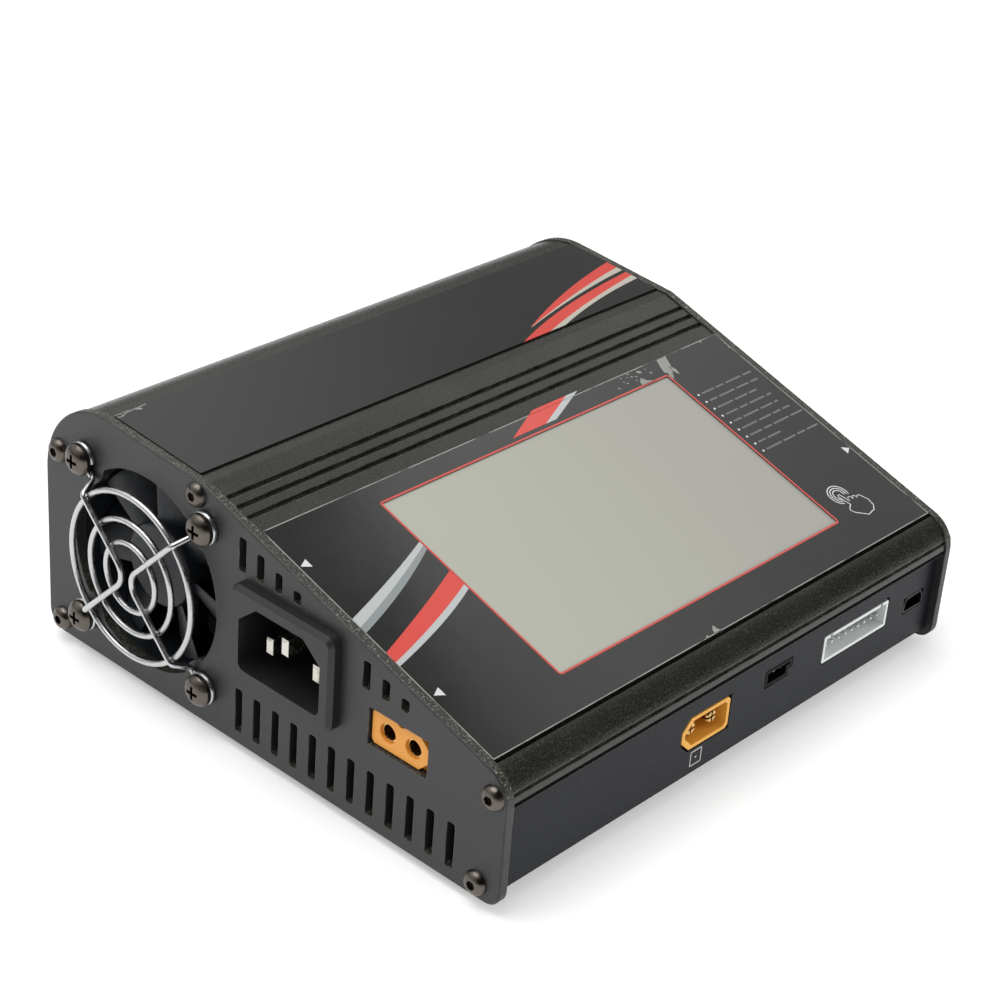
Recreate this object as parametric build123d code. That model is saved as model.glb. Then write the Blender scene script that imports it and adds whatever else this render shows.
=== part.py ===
"""Balance battery charger for model packs, mains or DC fed, with a touch screen.

Millimetres.  +X runs along the extruded case from the fan end to the USB end, -Y is the side
with the battery sockets and +Z is up.  The origin is the middle of the whole object's footprint,
on the surface that the rubber feet stand on.
"""

import os
from math import atan2, cos, degrees, hypot, radians, sin, sqrt, tan

from build123d import *

os.makedirs("parts", exist_ok=True)

# ------------------------------------------------------------------ driving dimensions
CASE_LENGTH = 153.8  # over the outer faces of the end caps
CASE_DEPTH = 141.4
CASE_HEIGHT = 61.2  # end caps, from their lower edge to the crown
CAP_THICKNESS = 2.2
CAP_CLEARANCE_BELOW = 2.0  # the caps' lower edge above the table
CROWN_RADIUS = 20.0
PLATEAU_DEPTH = 52.2  # rear face to the crease between plateau and console
PLATEAU_SLOPE = 4.5  # degrees
FRONT_HEIGHT = 30.43  # where the console would meet the front face, above the caps' lower edge
CREASE_RADIUS = 3.0
NOSE_RADIUS = 8.0
REAR_HEEL_RADIUS = 5.0
FRONT_HEEL_RADIUS = 4.0
EDGE_SOFTENING = 0.35  # worn outer edge of the caps

COVER_INSET = 0.35  # bare cover below the caps' rim
COVER_WALL = 1.8
LIP_BELOW_NOSE = 0.78  # lower edge of the cover's front lip, under the nose arc's centre
GROOVE_WIDTH = 1.3
GROOVE_DEPTH = 0.8
GROOVE_FIRST = 5.4  # from the crease, along the console
GROOVE_PITCH = 3.35
GROOVE_COUNT = 3
LIP_GROOVE_ABOVE = 2.9  # from the lip's lower edge
LIP_GROOVE_WIDTH = 0.8
LIP_GROOVE_DEPTH = 0.45

PANEL_RECESS = 2.0
PANEL_THICKNESS = 1.8
PANEL_BOTTOM = 2.8  # above the caps' lower edge
BASE_BOTTOM = 1.7
BASE_THICKNESS = 2.0
BASE_HEM = 6.5  # height of the base plate's rear upstand above the caps' lower edge
RAIL_HEIGHT = 5.8
RAIL_THICKNESS = 1.6
JOINT_GAP = 0.1

SCREW_RADIUS = 1.5  # M3 machine screws of the caps
SCREW_CLEARANCE = 0.15
THREAD_CLEARANCE = 0.05
PORT_RADIUS = 2.1
BUTTON_HEAD_RADIUS = 2.85
BUTTON_HEAD_HEIGHT = 1.65
HEX_ACROSS_FLATS = 2.0
HEX_DEPTH = 1.0
CAP_SCREW_LENGTH = 8.0

LABEL_THICKNESS = 0.3
LABEL_END_GAP = 0.1
UPPER_LABEL_FRONT = 3.1  # from the crease
LABEL_ON_CROWN = 1.37  # the label's rear edge past the start of the crown
LOWER_LABEL_START = 16.8
LOWER_LABEL_MARGIN = 6.1  # bare cover left in front of the label
SCREEN_FROM_FAN_END = 79.25  # middle of the screen window
WINDOW_START = 22.35  # from the crease, along the console
WINDOW_MARGIN = 15.95  # from the window to the front
WINDOW_LENGTH = 95.4
WINDOW_CORNER = 0.3
TOUCH_MARGIN = 2.2
TOUCH_FIT = 0.2
LCD_LENGTH = 105.5
LCD_BORDER = 5.95  # beyond the window, front and rear
LCD_THICKNESS = 3.2
LCD_BEZEL = 4.0
DISPLAY_BOARD_THICKNESS = 1.6
FOAM_THICKNESS = 2.5
FOAM_SIZE = 10.0

FAN_DEPTH = 15.0
FAN_EAR_BEHIND_PORT = -3.1  # upper front ear from the crease's screw port
FAN_EAR_UNDER_PORT = 6.4
FAN_EAR_ABOVE_BASE = 5.5
FAN_EAR_TO_BORE = 5.2  # from the ears' circle to the duct
FAN_OPENING_STEP = 0.5  # cap opening beyond the duct
FAN_LOBE_RADIUS = 6.3
FAN_TIP_CLEARANCE = 0.7
FAN_WALL = 1.4
FAN_EAR_RADIUS = 4.8
FAN_SCREW_RADIUS = 2.0
HUB_RADIUS = 10.0
HUB_WALL = 1.0
BLADE_COUNT = 7
SHAFT_RADIUS = 1.0
SHAFT_CLEARANCE = 0.03
BEARING_RADIUS = 2.0

WIRE_RADIUS = 0.7
RING_INSIDE_BORE = 3.2
RING_STEPS = (0.0, 6.4, 11.75)  # inwards from the outer ring
RING_PROUD = 3.9  # ring centrelines in front of the cap
SPOKE_PROUD = 5.0
SPOKE_BEND_RADIUS = 4.2
EYE_RADIUS = 3.2
EYE_BEND_RADIUS = 1.2
EYE_TURN = 300.0  # degrees of the loop under each screw
RAMP_ANGLE = 60.0  # from the spoke down to the cap
RAMP_BEND_RADIUS = 1.4
PAN_HEAD_RADIUS = 3.7
PAN_HEAD_HEIGHT = 2.3

VENT_WIDTH = 2.2
VENT_PITCH = 5.71
VENT_BOTTOM = 3.2
VENT_HEIGHT = 11.0
VENT_AFTER_FAN = 7.4  # first slot's middle, in front of the fan opening
VENT_FRONT_MARGIN = 12.5
UPPER_VENT_PITCH = 5.5
OUTLET_COLUMNS = 12
OUTLET_FROM_REAR = 12.5
OUTLET_HEIGHT = 12.6
OUTLET_BRIDGE = 3.6
UPPER_VENT_COVER = 3.1  # metal left above the upper slots
INLET_VENT_OFFSET = 14.6  # first slot's middle, behind the inlet's
INLET_VENT_COUNT = 4
INLET_VENT_BOTTOM = 43.4
DC_VENT_OFFSET = 9.5  # first slot's middle, behind the DC input's
DC_VENT_COUNT = 3
DC_VENT_BOTTOM = 33.2

CAP_GAPS_LEAST = (4.0, 7.5, 11.0)  # fan opening to inlet, inlet to DC input, DC input to front
CAP_GAP_SHARES = (0.2, 0.08, 0.72)
INLET_HEIGHT = 30.5
INLET_FLANGE_WIDTH = 30.8
INLET_FLANGE_HEIGHT = 23.0
INLET_FLANGE_THICKNESS = 3.0
INLET_RIM = 1.8  # of the flange, beyond the body
INLET_BODY_WIDTH = INLET_FLANGE_WIDTH - 2 * INLET_RIM
INLET_BODY_HEIGHT = 20.0
INLET_BODY_DEPTH = 19.0
INLET_WALL = 1.35
INLET_OPENING_WIDTH = INLET_BODY_WIDTH - 2 * INLET_WALL
INLET_OPENING_HEIGHT = 16.5
INLET_OPENING_DEPTH = 16.0
INLET_CHAMFER_WIDTH = 5.2
INLET_CHAMFER_HEIGHT = 4.4
INLET_PIN_SPACING = 14.0
INLET_PIN_STAGGER = 4.0
INLET_PIN_THICKNESS = 2.0
INLET_PIN_HEIGHT = 4.0
INLET_FIT = 0.2

POWER_PLUG_WIDTH = 16.0  # two-pole power connector, both genders
POWER_PLUG_HEIGHT = 8.1
POWER_PLUG_CHAMFER = 2.7
POWER_PLUG_FIT = 0.4
POWER_PLUG_CORNER = 0.8
CONTACT_SPACING = 7.2
CONTACT_RADIUS = 1.75  # bore of the sockets and outside of the pins
SOCKET_OUTER_RADIUS = 2.25
DC_HEIGHT = 25.1
DC_RECESS = 0.8
DC_BODY_DEPTH = 16.0
STUD_OFFSET = 13.6
STUD_RADIUS = 1.5
DC_SHOULDER_REACH = 1.4
BRACKET_THICKNESS = 1.2
BRACKET_FIT = 0.15
BRACKET_GAP = 0.05

OUTPUT_FROM_FAN_END = 66.0
OUTPUT_HEIGHT = 13.6
OUTPUT_CAVITY_DEPTH = 8.0
OUTPUT_WALL = 0.9
TEMP_FROM_FAN_END = 91.2
TEMP_HEIGHT = 16.0
TEMP_WIDTH = 9.6
TEMP_TALL = 4.2
TEMP_KEY_WIDTH = 1.3  # step in the lower corner towards the USB end, which keys the probe's plug
TEMP_KEY_TALL = 2.0
TEMP_PINS = 3
BALANCE_FROM_FAN_END = 120.5
BALANCE_HEIGHT = 14.5
BALANCE_TALL = 7.0
BALANCE_PITCH = 2.5
BALANCE_PINS = 9
HEADER_ENDS = 4.9  # a header's length beyond the row of its pins
SOCKET_FIT = 0.25  # panel cut-outs stand off the sockets by this
BALANCE_NICK = (1.6, 0.5)  # relief at the upper corner of the balance socket's cut-out
SOCKET_WALL = 0.8
PC_PORT_FROM_FAN_END = 144.0
PC_PORT_HEIGHT = 13.2
PC_PORT_WIDTH = 7.7
PC_PORT_TALL = 3.9
USB_FROM_FRONT = 30.0
USB_WIDTH = 13.1
USB_TALL = 5.7
USB_DEPTH = 14.0
USB_RECESS = 0.2
USB_FIT = 0.3
PORT_SHELL = 0.4  # sheet of both ports' shells

BOARD_TOP = 9.5  # circuit boards' upper face above the caps' lower edge
BOARD_THICKNESS = 1.6
LEG_CLEARANCE = 0.09  # board holes round the sockets' legs
SPACER_RADIUS = 2.75
SPACER_SCREW_RADIUS = 1.5
FOOT_RADIUS = 6.0
FOOT_INSET_X = 16.0
FOOT_INSET_Y = 14.0

# ------------------------------------------------------------------ places worked out from them
GUARD_PROUD = SPOKE_PROUD + WIRE_RADIUS
X_FAN_END = (GUARD_PROUD - BUTTON_HEAD_HEIGHT - CASE_LENGTH) / 2
X_USB_END = X_FAN_END + CASE_LENGTH
X_INNER_FAN_END = X_FAN_END + CAP_THICKNESS
X_INNER_USB_END = X_USB_END - CAP_THICKNESS
Y_REAR = CASE_DEPTH / 2
Y_FRONT = -CASE_DEPTH / 2
Z_LOW = CAP_CLEARANCE_BELOW
Z_CROWN = Z_LOW + CASE_HEIGHT

PLATEAU_TAN = tan(radians(PLATEAU_SLOPE))
CROWN_Y = Y_REAR - CROWN_RADIUS
CROWN_Z = Z_CROWN - CROWN_RADIUS
PLATEAU_Y = CROWN_Y - CROWN_RADIUS * sin(radians(PLATEAU_SLOPE))
PLATEAU_Z = CROWN_Z + CROWN_RADIUS * cos(radians(PLATEAU_SLOPE))
CREASE_Y = Y_REAR - PLATEAU_DEPTH
CREASE_Z = PLATEAU_Z - (PLATEAU_Y - CREASE_Y) * PLATEAU_TAN
NOSE_CORNER_Z = Z_LOW + FRONT_HEIGHT
CONSOLE_TAN = (CREASE_Z - NOSE_CORNER_Z) / (CREASE_Y - Y_FRONT)
CONSOLE_SLOPE = degrees(atan2(CREASE_Z - NOSE_CORNER_Z, CREASE_Y - Y_FRONT))
CONSOLE_LENGTH = hypot(CREASE_Z - NOSE_CORNER_Z, CREASE_Y - Y_FRONT)
NOSE_TANGENT = NOSE_RADIUS * tan(radians((90 - CONSOLE_SLOPE) / 2))
NOSE_Y = Y_FRONT + NOSE_RADIUS
NOSE_Z = NOSE_CORNER_Z - NOSE_TANGENT

CASE_CORNERS = (
    (Y_FRONT, Z_LOW, FRONT_HEEL_RADIUS),
    (Y_REAR, Z_LOW, REAR_HEEL_RADIUS),
    (Y_REAR, PLATEAU_Z + (Y_REAR - PLATEAU_Y) * PLATEAU_TAN, CROWN_RADIUS),
    (CREASE_Y, CREASE_Z, CREASE_RADIUS),
    (Y_FRONT, NOSE_CORNER_Z, NOSE_RADIUS),
)

PANEL_FACE_Y = Y_FRONT + PANEL_RECESS
PANEL_BACK_Y = PANEL_FACE_Y + PANEL_THICKNESS
LIP_Z = NOSE_Z - LIP_BELOW_NOSE
PANEL_TOP_Z = LIP_Z - JOINT_GAP
BASE_Z = Z_LOW + BASE_BOTTOM
BASE_TOP_Z = BASE_Z + BASE_THICKNESS
HEM_Z = Z_LOW + BASE_HEM
COVER_INNER = COVER_INSET + COVER_WALL
BOARD_TOP_Z = Z_LOW + BOARD_TOP
BOARD_BOTTOM_Z = BOARD_TOP_Z - BOARD_THICKNESS

PORT_Y = CREASE_Y + 1.6
PORT_Z = CREASE_Z - COVER_INNER - PORT_RADIUS + 1.1
FAN_HOLE_SPACING = PORT_Z - FAN_EAR_UNDER_PORT - BASE_TOP_Z - FAN_EAR_ABOVE_BASE
FAN_Y = PORT_Y + FAN_EAR_BEHIND_PORT + FAN_HOLE_SPACING / 2
FAN_Z = PORT_Z - FAN_EAR_UNDER_PORT - FAN_HOLE_SPACING / 2
FAN_BORE_RADIUS = FAN_HOLE_SPACING / sqrt(2) - FAN_EAR_TO_BORE
FAN_OPENING_RADIUS = FAN_BORE_RADIUS + FAN_OPENING_STEP
RING_RADII = tuple(FAN_BORE_RADIUS - RING_INSIDE_BORE - step for step in RING_STEPS)

# the mains inlet and the DC input share what the fan leaves of the cap's length
FAN_CAP_EDGE = FAN_Y - FAN_OPENING_RADIUS
CAP_SLACK = FAN_CAP_EDGE - Y_FRONT - INLET_FLANGE_WIDTH - POWER_PLUG_WIDTH - sum(CAP_GAPS_LEAST)
CAP_GAPS = tuple(least + share * CAP_SLACK for least, share in zip(CAP_GAPS_LEAST, CAP_GAP_SHARES))
INLET_Y = FAN_CAP_EDGE - CAP_GAPS[0] - INLET_FLANGE_WIDTH / 2
DC_Y = INLET_Y - INLET_FLANGE_WIDTH / 2 - CAP_GAPS[1] - POWER_PLUG_WIDTH / 2
INLET_Z = Z_LOW + INLET_HEIGHT
DC_Z = Z_LOW + DC_HEIGHT
OUTPUT_X = X_FAN_END + OUTPUT_FROM_FAN_END
TEMP_X = X_FAN_END + TEMP_FROM_FAN_END
BALANCE_X = X_FAN_END + BALANCE_FROM_FAN_END
PC_PORT_X = X_FAN_END + PC_PORT_FROM_FAN_END
BALANCE_WIDTH = BALANCE_PITCH * (BALANCE_PINS - 1) + HEADER_ENDS
SCREEN_X = X_FAN_END + SCREEN_FROM_FAN_END
WINDOW_DEPTH = CONSOLE_LENGTH - WINDOW_START - WINDOW_MARGIN
SCREEN_DOWN_SLOPE = WINDOW_START + WINDOW_DEPTH / 2
LCD_DEPTH = WINDOW_DEPTH + 2 * LCD_BORDER
LOWER_LABEL_DEPTH = CONSOLE_LENGTH - LOWER_LABEL_START - LOWER_LABEL_MARGIN
UPPER_LABEL_DEPTH = (PLATEAU_Y - CREASE_Y) / cos(radians(PLATEAU_SLOPE)) - UPPER_LABEL_FRONT + LABEL_ON_CROWN
USB_Y = Y_FRONT + USB_FROM_FRONT

# the caps' screws: (y, z); the first two and the fourth bite in the cover, the others in the base
CAP_SCREWS = (
    (Y_REAR - COVER_INNER - PORT_RADIUS - 0.45, CROWN_Z + 5.9),
    (PORT_Y, PORT_Z),
    (Y_REAR - COVER_INNER - PORT_RADIUS - 0.75, BASE_Z + PORT_RADIUS),
    (NOSE_Y - 4.5, NOSE_Z + 1.4),
    (PANEL_BACK_Y + 0.4 + PORT_RADIUS, BASE_Z + PORT_RADIUS),
)


# ------------------------------------------------------------------ shared shapes
def box(x0, x1, y0, y1, z0, z1):
    """A block between two opposite corners."""
    return Pos((x0 + x1) / 2, (y0 + y1) / 2, (z0 + z1) / 2) * Box(x1 - x0, y1 - y0, z1 - z0)


def rod_x(x0, x1, y, z, radius):
    return Pos((x0 + x1) / 2, y, z) * Rot(0, 90, 0) * Cylinder(radius, x1 - x0)


def rod_y(x, y0, y1, z, radius):
    return Pos(x, (y0 + y1) / 2, z) * Rot(90, 0, 0) * Cylinder(radius, y1 - y0)


def rod_z(x, y, z0, z1, radius):
    return Pos(x, y, (z0 + z1) / 2) * Cylinder(radius, z1 - z0)


def section_plane(x):
    """The plane across the case at x: its own axes are Y and Z."""
    return Plane(origin=(x, 0, 0), x_dir=(0, 1, 0), z_dir=(1, 0, 0))


def rounded(corners):
    """A closed outline of (u, v, radius) corners."""
    outline = make_face(Polyline(*[(u, v) for u, v, _ in corners], close=True))
    for u, v, radius in corners:
        if radius > 0:
            outline = fillet(outline.vertices().sort_by_distance(Vector(u, v))[0], radius)
    return outline


def case_outline(inset):
    """The end view of the case, drawn in by a distance all round."""
    corners = []
    count = len(CASE_CORNERS)
    for index, (u, v, radius) in enumerate(CASE_CORNERS):
        before = CASE_CORNERS[index - 1]
        after = CASE_CORNERS[(index + 1) % count]
        into = hypot(u - before[0], v - before[1])
        out = hypot(after[0] - u, after[1] - v)
        normal_in = (-(v - before[1]) / into, (u - before[0]) / into)
        normal_out = (-(after[1] - v) / out, (after[0] - u) / out)
        share = inset / (1 + normal_in[0] * normal_out[0] + normal_in[1] * normal_out[1])
        u_moved = u + share * (normal_in[0] + normal_out[0])
        v_moved = v + share * (normal_in[1] + normal_out[1])
        corners.append((u_moved, v_moved, max(radius - inset, 0.5)))
    return rounded(corners)


def across_case(sketch, x0, x1):
    """A sketch in Y and Z carried along the case."""
    return extrude(section_plane(x0) * sketch, x1 - x0)


def upright_slot(width, height):
    return RectangleRounded(width, height, width * 0.32)


def joined(pieces):
    """One compound of separate solids."""
    return Compound(children=[piece for piece in pieces])


CONSOLE = Plane(
    origin=(0, CREASE_Y, CREASE_Z),
    x_dir=(1, 0, 0),
    z_dir=(0, -sin(radians(CONSOLE_SLOPE)), cos(radians(CONSOLE_SLOPE))),
)
PLATEAU = Plane(
    origin=(0, CREASE_Y, CREASE_Z),
    x_dir=(1, 0, 0),
    z_dir=(0, -sin(radians(PLATEAU_SLOPE)), cos(radians(PLATEAU_SLOPE))),
)


def on_console(x0, x1, down0, down1, low, high):
    """A block lying on the console: distances down its slope, heights from the case outline."""
    middle = Pos((x0 + x1) / 2, -(down0 + down1) / 2, (low + high) / 2)
    return CONSOLE * middle * Box(x1 - x0, down1 - down0, high - low)


# ------------------------------------------------------------------ case
def top_cover():
    """Extruded cover: rear wall, crown, plateau, console and front lip, with three screw ports."""
    ring = case_outline(COVER_INSET) - case_outline(COVER_INNER)
    reach = CASE_DEPTH
    under_hem = Pos(0, HEM_Z + JOINT_GAP - reach / 2) * Rectangle(2 * reach, reach)
    under_lip = Pos(Y_FRONT, LIP_Z - reach / 2) * Rectangle(reach, reach)
    section = ring - under_hem - under_lip
    lip_y = Y_FRONT + COVER_INSET
    block_top = NOSE_Z + 3.6
    block_back = PANEL_BACK_Y + 2.0
    block = Pos((lip_y + block_back) / 2, (LIP_Z + block_top) / 2) * Rectangle(
        block_back - lip_y, block_top - LIP_Z
    )
    section += block & case_outline(COVER_INSET)
    stop_low = LIP_Z - 3.0
    stop_front = PANEL_BACK_Y + JOINT_GAP
    section += Pos((stop_front + block_back) / 2, (stop_low + block_top) / 2) * Rectangle(
        block_back - stop_front, block_top - stop_low
    )
    for index in (0, 1):
        y, z = CAP_SCREWS[index]
        section += Pos(y, z) * Circle(PORT_RADIUS) & case_outline(COVER_INSET + 0.5)
    for index in (0, 1, 3):
        y, z = CAP_SCREWS[index]
        section -= Pos(y, z) * Circle(SCREW_RADIUS + THREAD_CLEARANCE)
    lip_surface = NOSE_Y - sqrt(NOSE_RADIUS**2 - (LIP_GROOVE_ABOVE - LIP_BELOW_NOSE) ** 2)
    section -= Pos(lip_surface + COVER_INSET + LIP_GROOVE_DEPTH - 1.5, LIP_Z + LIP_GROOVE_ABOVE) * Rectangle(
        3.0, LIP_GROOVE_WIDTH
    )
    cover = across_case(section, X_INNER_FAN_END, X_INNER_USB_END)
    for index in range(GROOVE_COUNT):
        middle = GROOVE_FIRST + index * GROOVE_PITCH
        cover -= on_console(
            X_FAN_END, X_USB_END, middle - GROOVE_WIDTH / 2, middle + GROOVE_WIDTH / 2,
            -COVER_INSET - GROOVE_DEPTH, 2,
        )
    cut_length = WINDOW_LENGTH + 2 * TOUCH_MARGIN
    cut_depth = WINDOW_DEPTH + 2 * TOUCH_MARGIN
    cover -= on_console(
        SCREEN_X - cut_length / 2, SCREEN_X + cut_length / 2,
        SCREEN_DOWN_SLOPE - cut_depth / 2, SCREEN_DOWN_SLOPE + cut_depth / 2,
        -COVER_INNER - 2, 2,
    )
    return cover


def base_plate():
    """Extruded base: flat floor, rear upstand, front rail and the two lower screw ports."""
    rear = Y_REAR - COVER_INSET
    floor = rounded(
        (
            (PANEL_BACK_Y + JOINT_GAP, BASE_Z, 0),
            (rear, BASE_Z, REAR_HEEL_RADIUS - 1.5),
            (rear, HEM_Z, 0),
            (rear - COVER_WALL, HEM_Z, 0),
            (rear - COVER_WALL, BASE_TOP_Z, 0),
            (PANEL_BACK_Y + JOINT_GAP, BASE_TOP_Z, 0),
        )
    )
    rail_front = PANEL_BACK_Y + JOINT_GAP
    floor += Pos(rail_front + RAIL_THICKNESS / 2, BASE_Z + RAIL_HEIGHT / 2) * Rectangle(
        RAIL_THICKNESS, RAIL_HEIGHT
    )
    toe_top = Z_LOW + PANEL_BOTTOM - 0.05
    toe_front = PANEL_FACE_Y + 0.9
    floor += Pos((toe_front + rail_front) / 2, (BASE_Z + toe_top) / 2) * Rectangle(
        rail_front - toe_front + 0.01, toe_top - BASE_Z
    )
    for index in (2, 4):
        y, z = CAP_SCREWS[index]
        floor += Pos(y, z) * Circle(PORT_RADIUS)
        floor -= Pos(y, z) * Circle(SCREW_RADIUS + THREAD_CLEARANCE)
    return across_case(floor, X_INNER_FAN_END, X_INNER_USB_END)


def front_panel():
    """Flat plate behind the lip, with a cut-out for each of the four battery-side sockets."""
    panel = box(
        X_INNER_FAN_END + JOINT_GAP, X_INNER_USB_END - JOINT_GAP,
        PANEL_FACE_Y, PANEL_BACK_Y, Z_LOW + PANEL_BOTTOM, PANEL_TOP_Z,
    )
    mouth = Plane(origin=(OUTPUT_X, PANEL_BACK_Y + 1, Z_LOW + OUTPUT_HEIGHT), x_dir=(1, 0, 0), z_dir=(0, -1, 0))
    square_end = Rectangle(
        POWER_PLUG_WIDTH / 2 + POWER_PLUG_FIT, POWER_PLUG_HEIGHT + 2 * POWER_PLUG_FIT,
        align=(Align.MIN, Align.CENTER),
    )
    panel -= extrude(mouth * (power_plug_outline(POWER_PLUG_FIT, -1) + square_end), PANEL_THICKNESS + 2)
    openings = (
        (BALANCE_X, BALANCE_HEIGHT, BALANCE_WIDTH, BALANCE_TALL),
        (PC_PORT_X, PC_PORT_HEIGHT, PC_PORT_WIDTH, PC_PORT_TALL),
    )
    for x, height, width, tall in openings:
        panel -= box(
            x - width / 2 - SOCKET_FIT, x + width / 2 + SOCKET_FIT, PANEL_FACE_Y - 1, PANEL_BACK_Y + 1,
            Z_LOW + height - tall / 2 - SOCKET_FIT, Z_LOW + height + tall / 2 + SOCKET_FIT,
        )
    panel -= temp_block(SOCKET_FIT, PANEL_FACE_Y - 1, PANEL_BACK_Y + 1)
    balance_end = BALANCE_X + BALANCE_WIDTH / 2 + SOCKET_FIT
    balance_top = Z_LOW + BALANCE_HEIGHT + BALANCE_TALL / 2 + SOCKET_FIT
    return panel - box(
        balance_end - BALANCE_NICK[0], balance_end, PANEL_FACE_Y - 1, PANEL_BACK_Y + 1,
        balance_top - 1, balance_top + BALANCE_NICK[1],
    )


def temp_block(extra, y0, y1):
    """The temperature socket's keyed outline, grown by a margin, as a block from y0 to y1."""
    x0 = TEMP_X - TEMP_WIDTH / 2 - extra
    x1 = TEMP_X + TEMP_WIDTH / 2 + extra
    z0 = Z_LOW + TEMP_HEIGHT - TEMP_TALL / 2 - extra
    z1 = Z_LOW + TEMP_HEIGHT + TEMP_TALL / 2 + extra
    return box(x0, x1 - TEMP_KEY_WIDTH, y0, y1, z0, z1) + box(x0, x1, y0, y1, z0 + TEMP_KEY_TALL, z1)


def cap_blank(x_outer, x_inner):
    """An end cap before its openings: the case outline with a softened outer rim."""
    cap = across_case(case_outline(0), min(x_outer, x_inner), max(x_outer, x_inner))
    rim = cap.faces().filter_by(Axis.X).sort_by(Axis.X)
    outer_face = rim[0] if x_outer < x_inner else rim[-1]
    cap = chamfer(outer_face.edges(), EDGE_SOFTENING)
    for y, z in CAP_SCREWS:
        cap -= rod_x(min(x_outer, x_inner) - 1, max(x_outer, x_inner) + 1, y, z, SCREW_RADIUS + SCREW_CLEARANCE)
    return cap


def console_height(y):
    """Height of the case outline over the console at a given y."""
    return CREASE_Z - (CREASE_Y - y) * CONSOLE_TAN


def vent(y, z_low, z_high):
    """A tool that cuts one upright slot through either cap."""
    slot = Pos(y, (z_low + z_high) / 2) * upright_slot(VENT_WIDTH, z_high - z_low)
    return across_case(slot, -CAP_THICKNESS, 2 * CAP_THICKNESS)


def upper_vents(y_first, count, z_low):
    """A row of upright slots that end under the console, as far forward as there is height for one."""
    slots = []
    for index in range(count):
        y = y_first - index * UPPER_VENT_PITCH
        z_high = console_height(y) - UPPER_VENT_COVER
        if z_high - z_low > VENT_WIDTH:
            slots.append(vent(y, z_low, z_high))
    return slots


def power_plug_outline(extra, chamfer_side):
    """Outline of the two-pole power connector: one short end is cut to a blunt point."""
    half_width = POWER_PLUG_WIDTH / 2 + extra
    half_height = POWER_PLUG_HEIGHT / 2 + extra
    cut = POWER_PLUG_CHAMFER
    nick = POWER_PLUG_CORNER
    side = chamfer_side
    return make_face(
        Polyline(
            (side * (nick - half_width), -half_height),
            (side * (half_width - cut), -half_height),
            (side * half_width, -half_height + cut),
            (side * half_width, half_height - cut),
            (side * (half_width - cut), half_height),
            (side * (nick - half_width), half_height),
            (-side * half_width, half_height - nick),
            (-side * half_width, nick - half_height),
            close=True,
        )
    )


def left_end_cap():
    """Fan end: fan opening, mains inlet, DC input, vent slots and two studs for the DC bracket."""
    cap = cap_blank(X_FAN_END, X_INNER_FAN_END)
    opening = Circle(FAN_OPENING_RADIUS)
    half = FAN_HOLE_SPACING / 2
    for side_y in (-half, half):
        for side_z in (-half, half):
            opening -= Pos(side_y, side_z) * Circle(FAN_LOBE_RADIUS)
    cap -= across_case(Pos(FAN_Y, FAN_Z) * opening, X_FAN_END - 1, X_INNER_FAN_END + 1)
    for side_y in (-half, half):
        for side_z in (-half, half):
            cap -= rod_x(
                X_FAN_END - 1, X_INNER_FAN_END + 1, FAN_Y + side_y, FAN_Z + side_z,
                FAN_SCREW_RADIUS + SCREW_CLEARANCE,
            )
    inlet = RectangleRounded(INLET_BODY_WIDTH + 2 * INLET_FIT, INLET_BODY_HEIGHT + 2 * INLET_FIT, 1.5)
    cap -= across_case(Pos(INLET_Y, INLET_Z) * inlet, X_FAN_END - 1, X_INNER_FAN_END + 1)
    plug = Pos(DC_Y, DC_Z) * Rectangle(
        POWER_PLUG_WIDTH + 2 * POWER_PLUG_FIT, POWER_PLUG_HEIGHT + 2 * POWER_PLUG_FIT
    )
    cap -= across_case(plug, X_FAN_END - 1, X_INNER_FAN_END + 1)
    slots = []
    first = FAN_CAP_EDGE - VENT_AFTER_FAN
    for index in range(int((first - Y_FRONT - VENT_FRONT_MARGIN) / VENT_PITCH) + 1):
        y = first - index * VENT_PITCH
        slots.append(vent(y, Z_LOW + VENT_BOTTOM, Z_LOW + VENT_BOTTOM + VENT_HEIGHT))
    slots += upper_vents(INLET_Y + INLET_VENT_OFFSET, INLET_VENT_COUNT, Z_LOW + INLET_VENT_BOTTOM)
    slots += upper_vents(DC_Y + DC_VENT_OFFSET, DC_VENT_COUNT, Z_LOW + DC_VENT_BOTTOM)
    for slot in slots:
        cap -= Pos(X_FAN_END, 0, 0) * slot
    for side in (-1, 1):
        cap += rod_x(X_INNER_FAN_END - 0.5, X_INNER_FAN_END + 7, DC_Y + side * STUD_OFFSET, DC_Z, STUD_RADIUS)
    return cap


def right_end_cap():
    """USB end: three rows of outlet slots opposite the fan, and the USB port's cut-out."""
    cap = cap_blank(X_USB_END, X_INNER_USB_END)
    for column in range(OUTLET_COLUMNS):
        y = Y_REAR - OUTLET_FROM_REAR - column * VENT_PITCH
        low = Z_LOW + VENT_BOTTOM
        while low + OUTLET_HEIGHT < console_height(min(y, CREASE_Y)) - UPPER_VENT_COVER - PORT_RADIUS:
            cap -= Pos(X_INNER_USB_END, 0, 0) * vent(y, low, low + OUTLET_HEIGHT)
            low += OUTLET_HEIGHT + OUTLET_BRIDGE
    usb_z = BOARD_TOP_Z + USB_TALL / 2
    cap -= box(
        X_INNER_USB_END - 1, X_USB_END + 1, USB_Y - USB_WIDTH / 2 - USB_FIT, USB_Y + USB_WIDTH / 2 + USB_FIT,
        usb_z - USB_TALL / 2 - USB_FIT, usb_z + USB_TALL / 2 + USB_FIT,
    )
    return cap


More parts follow.
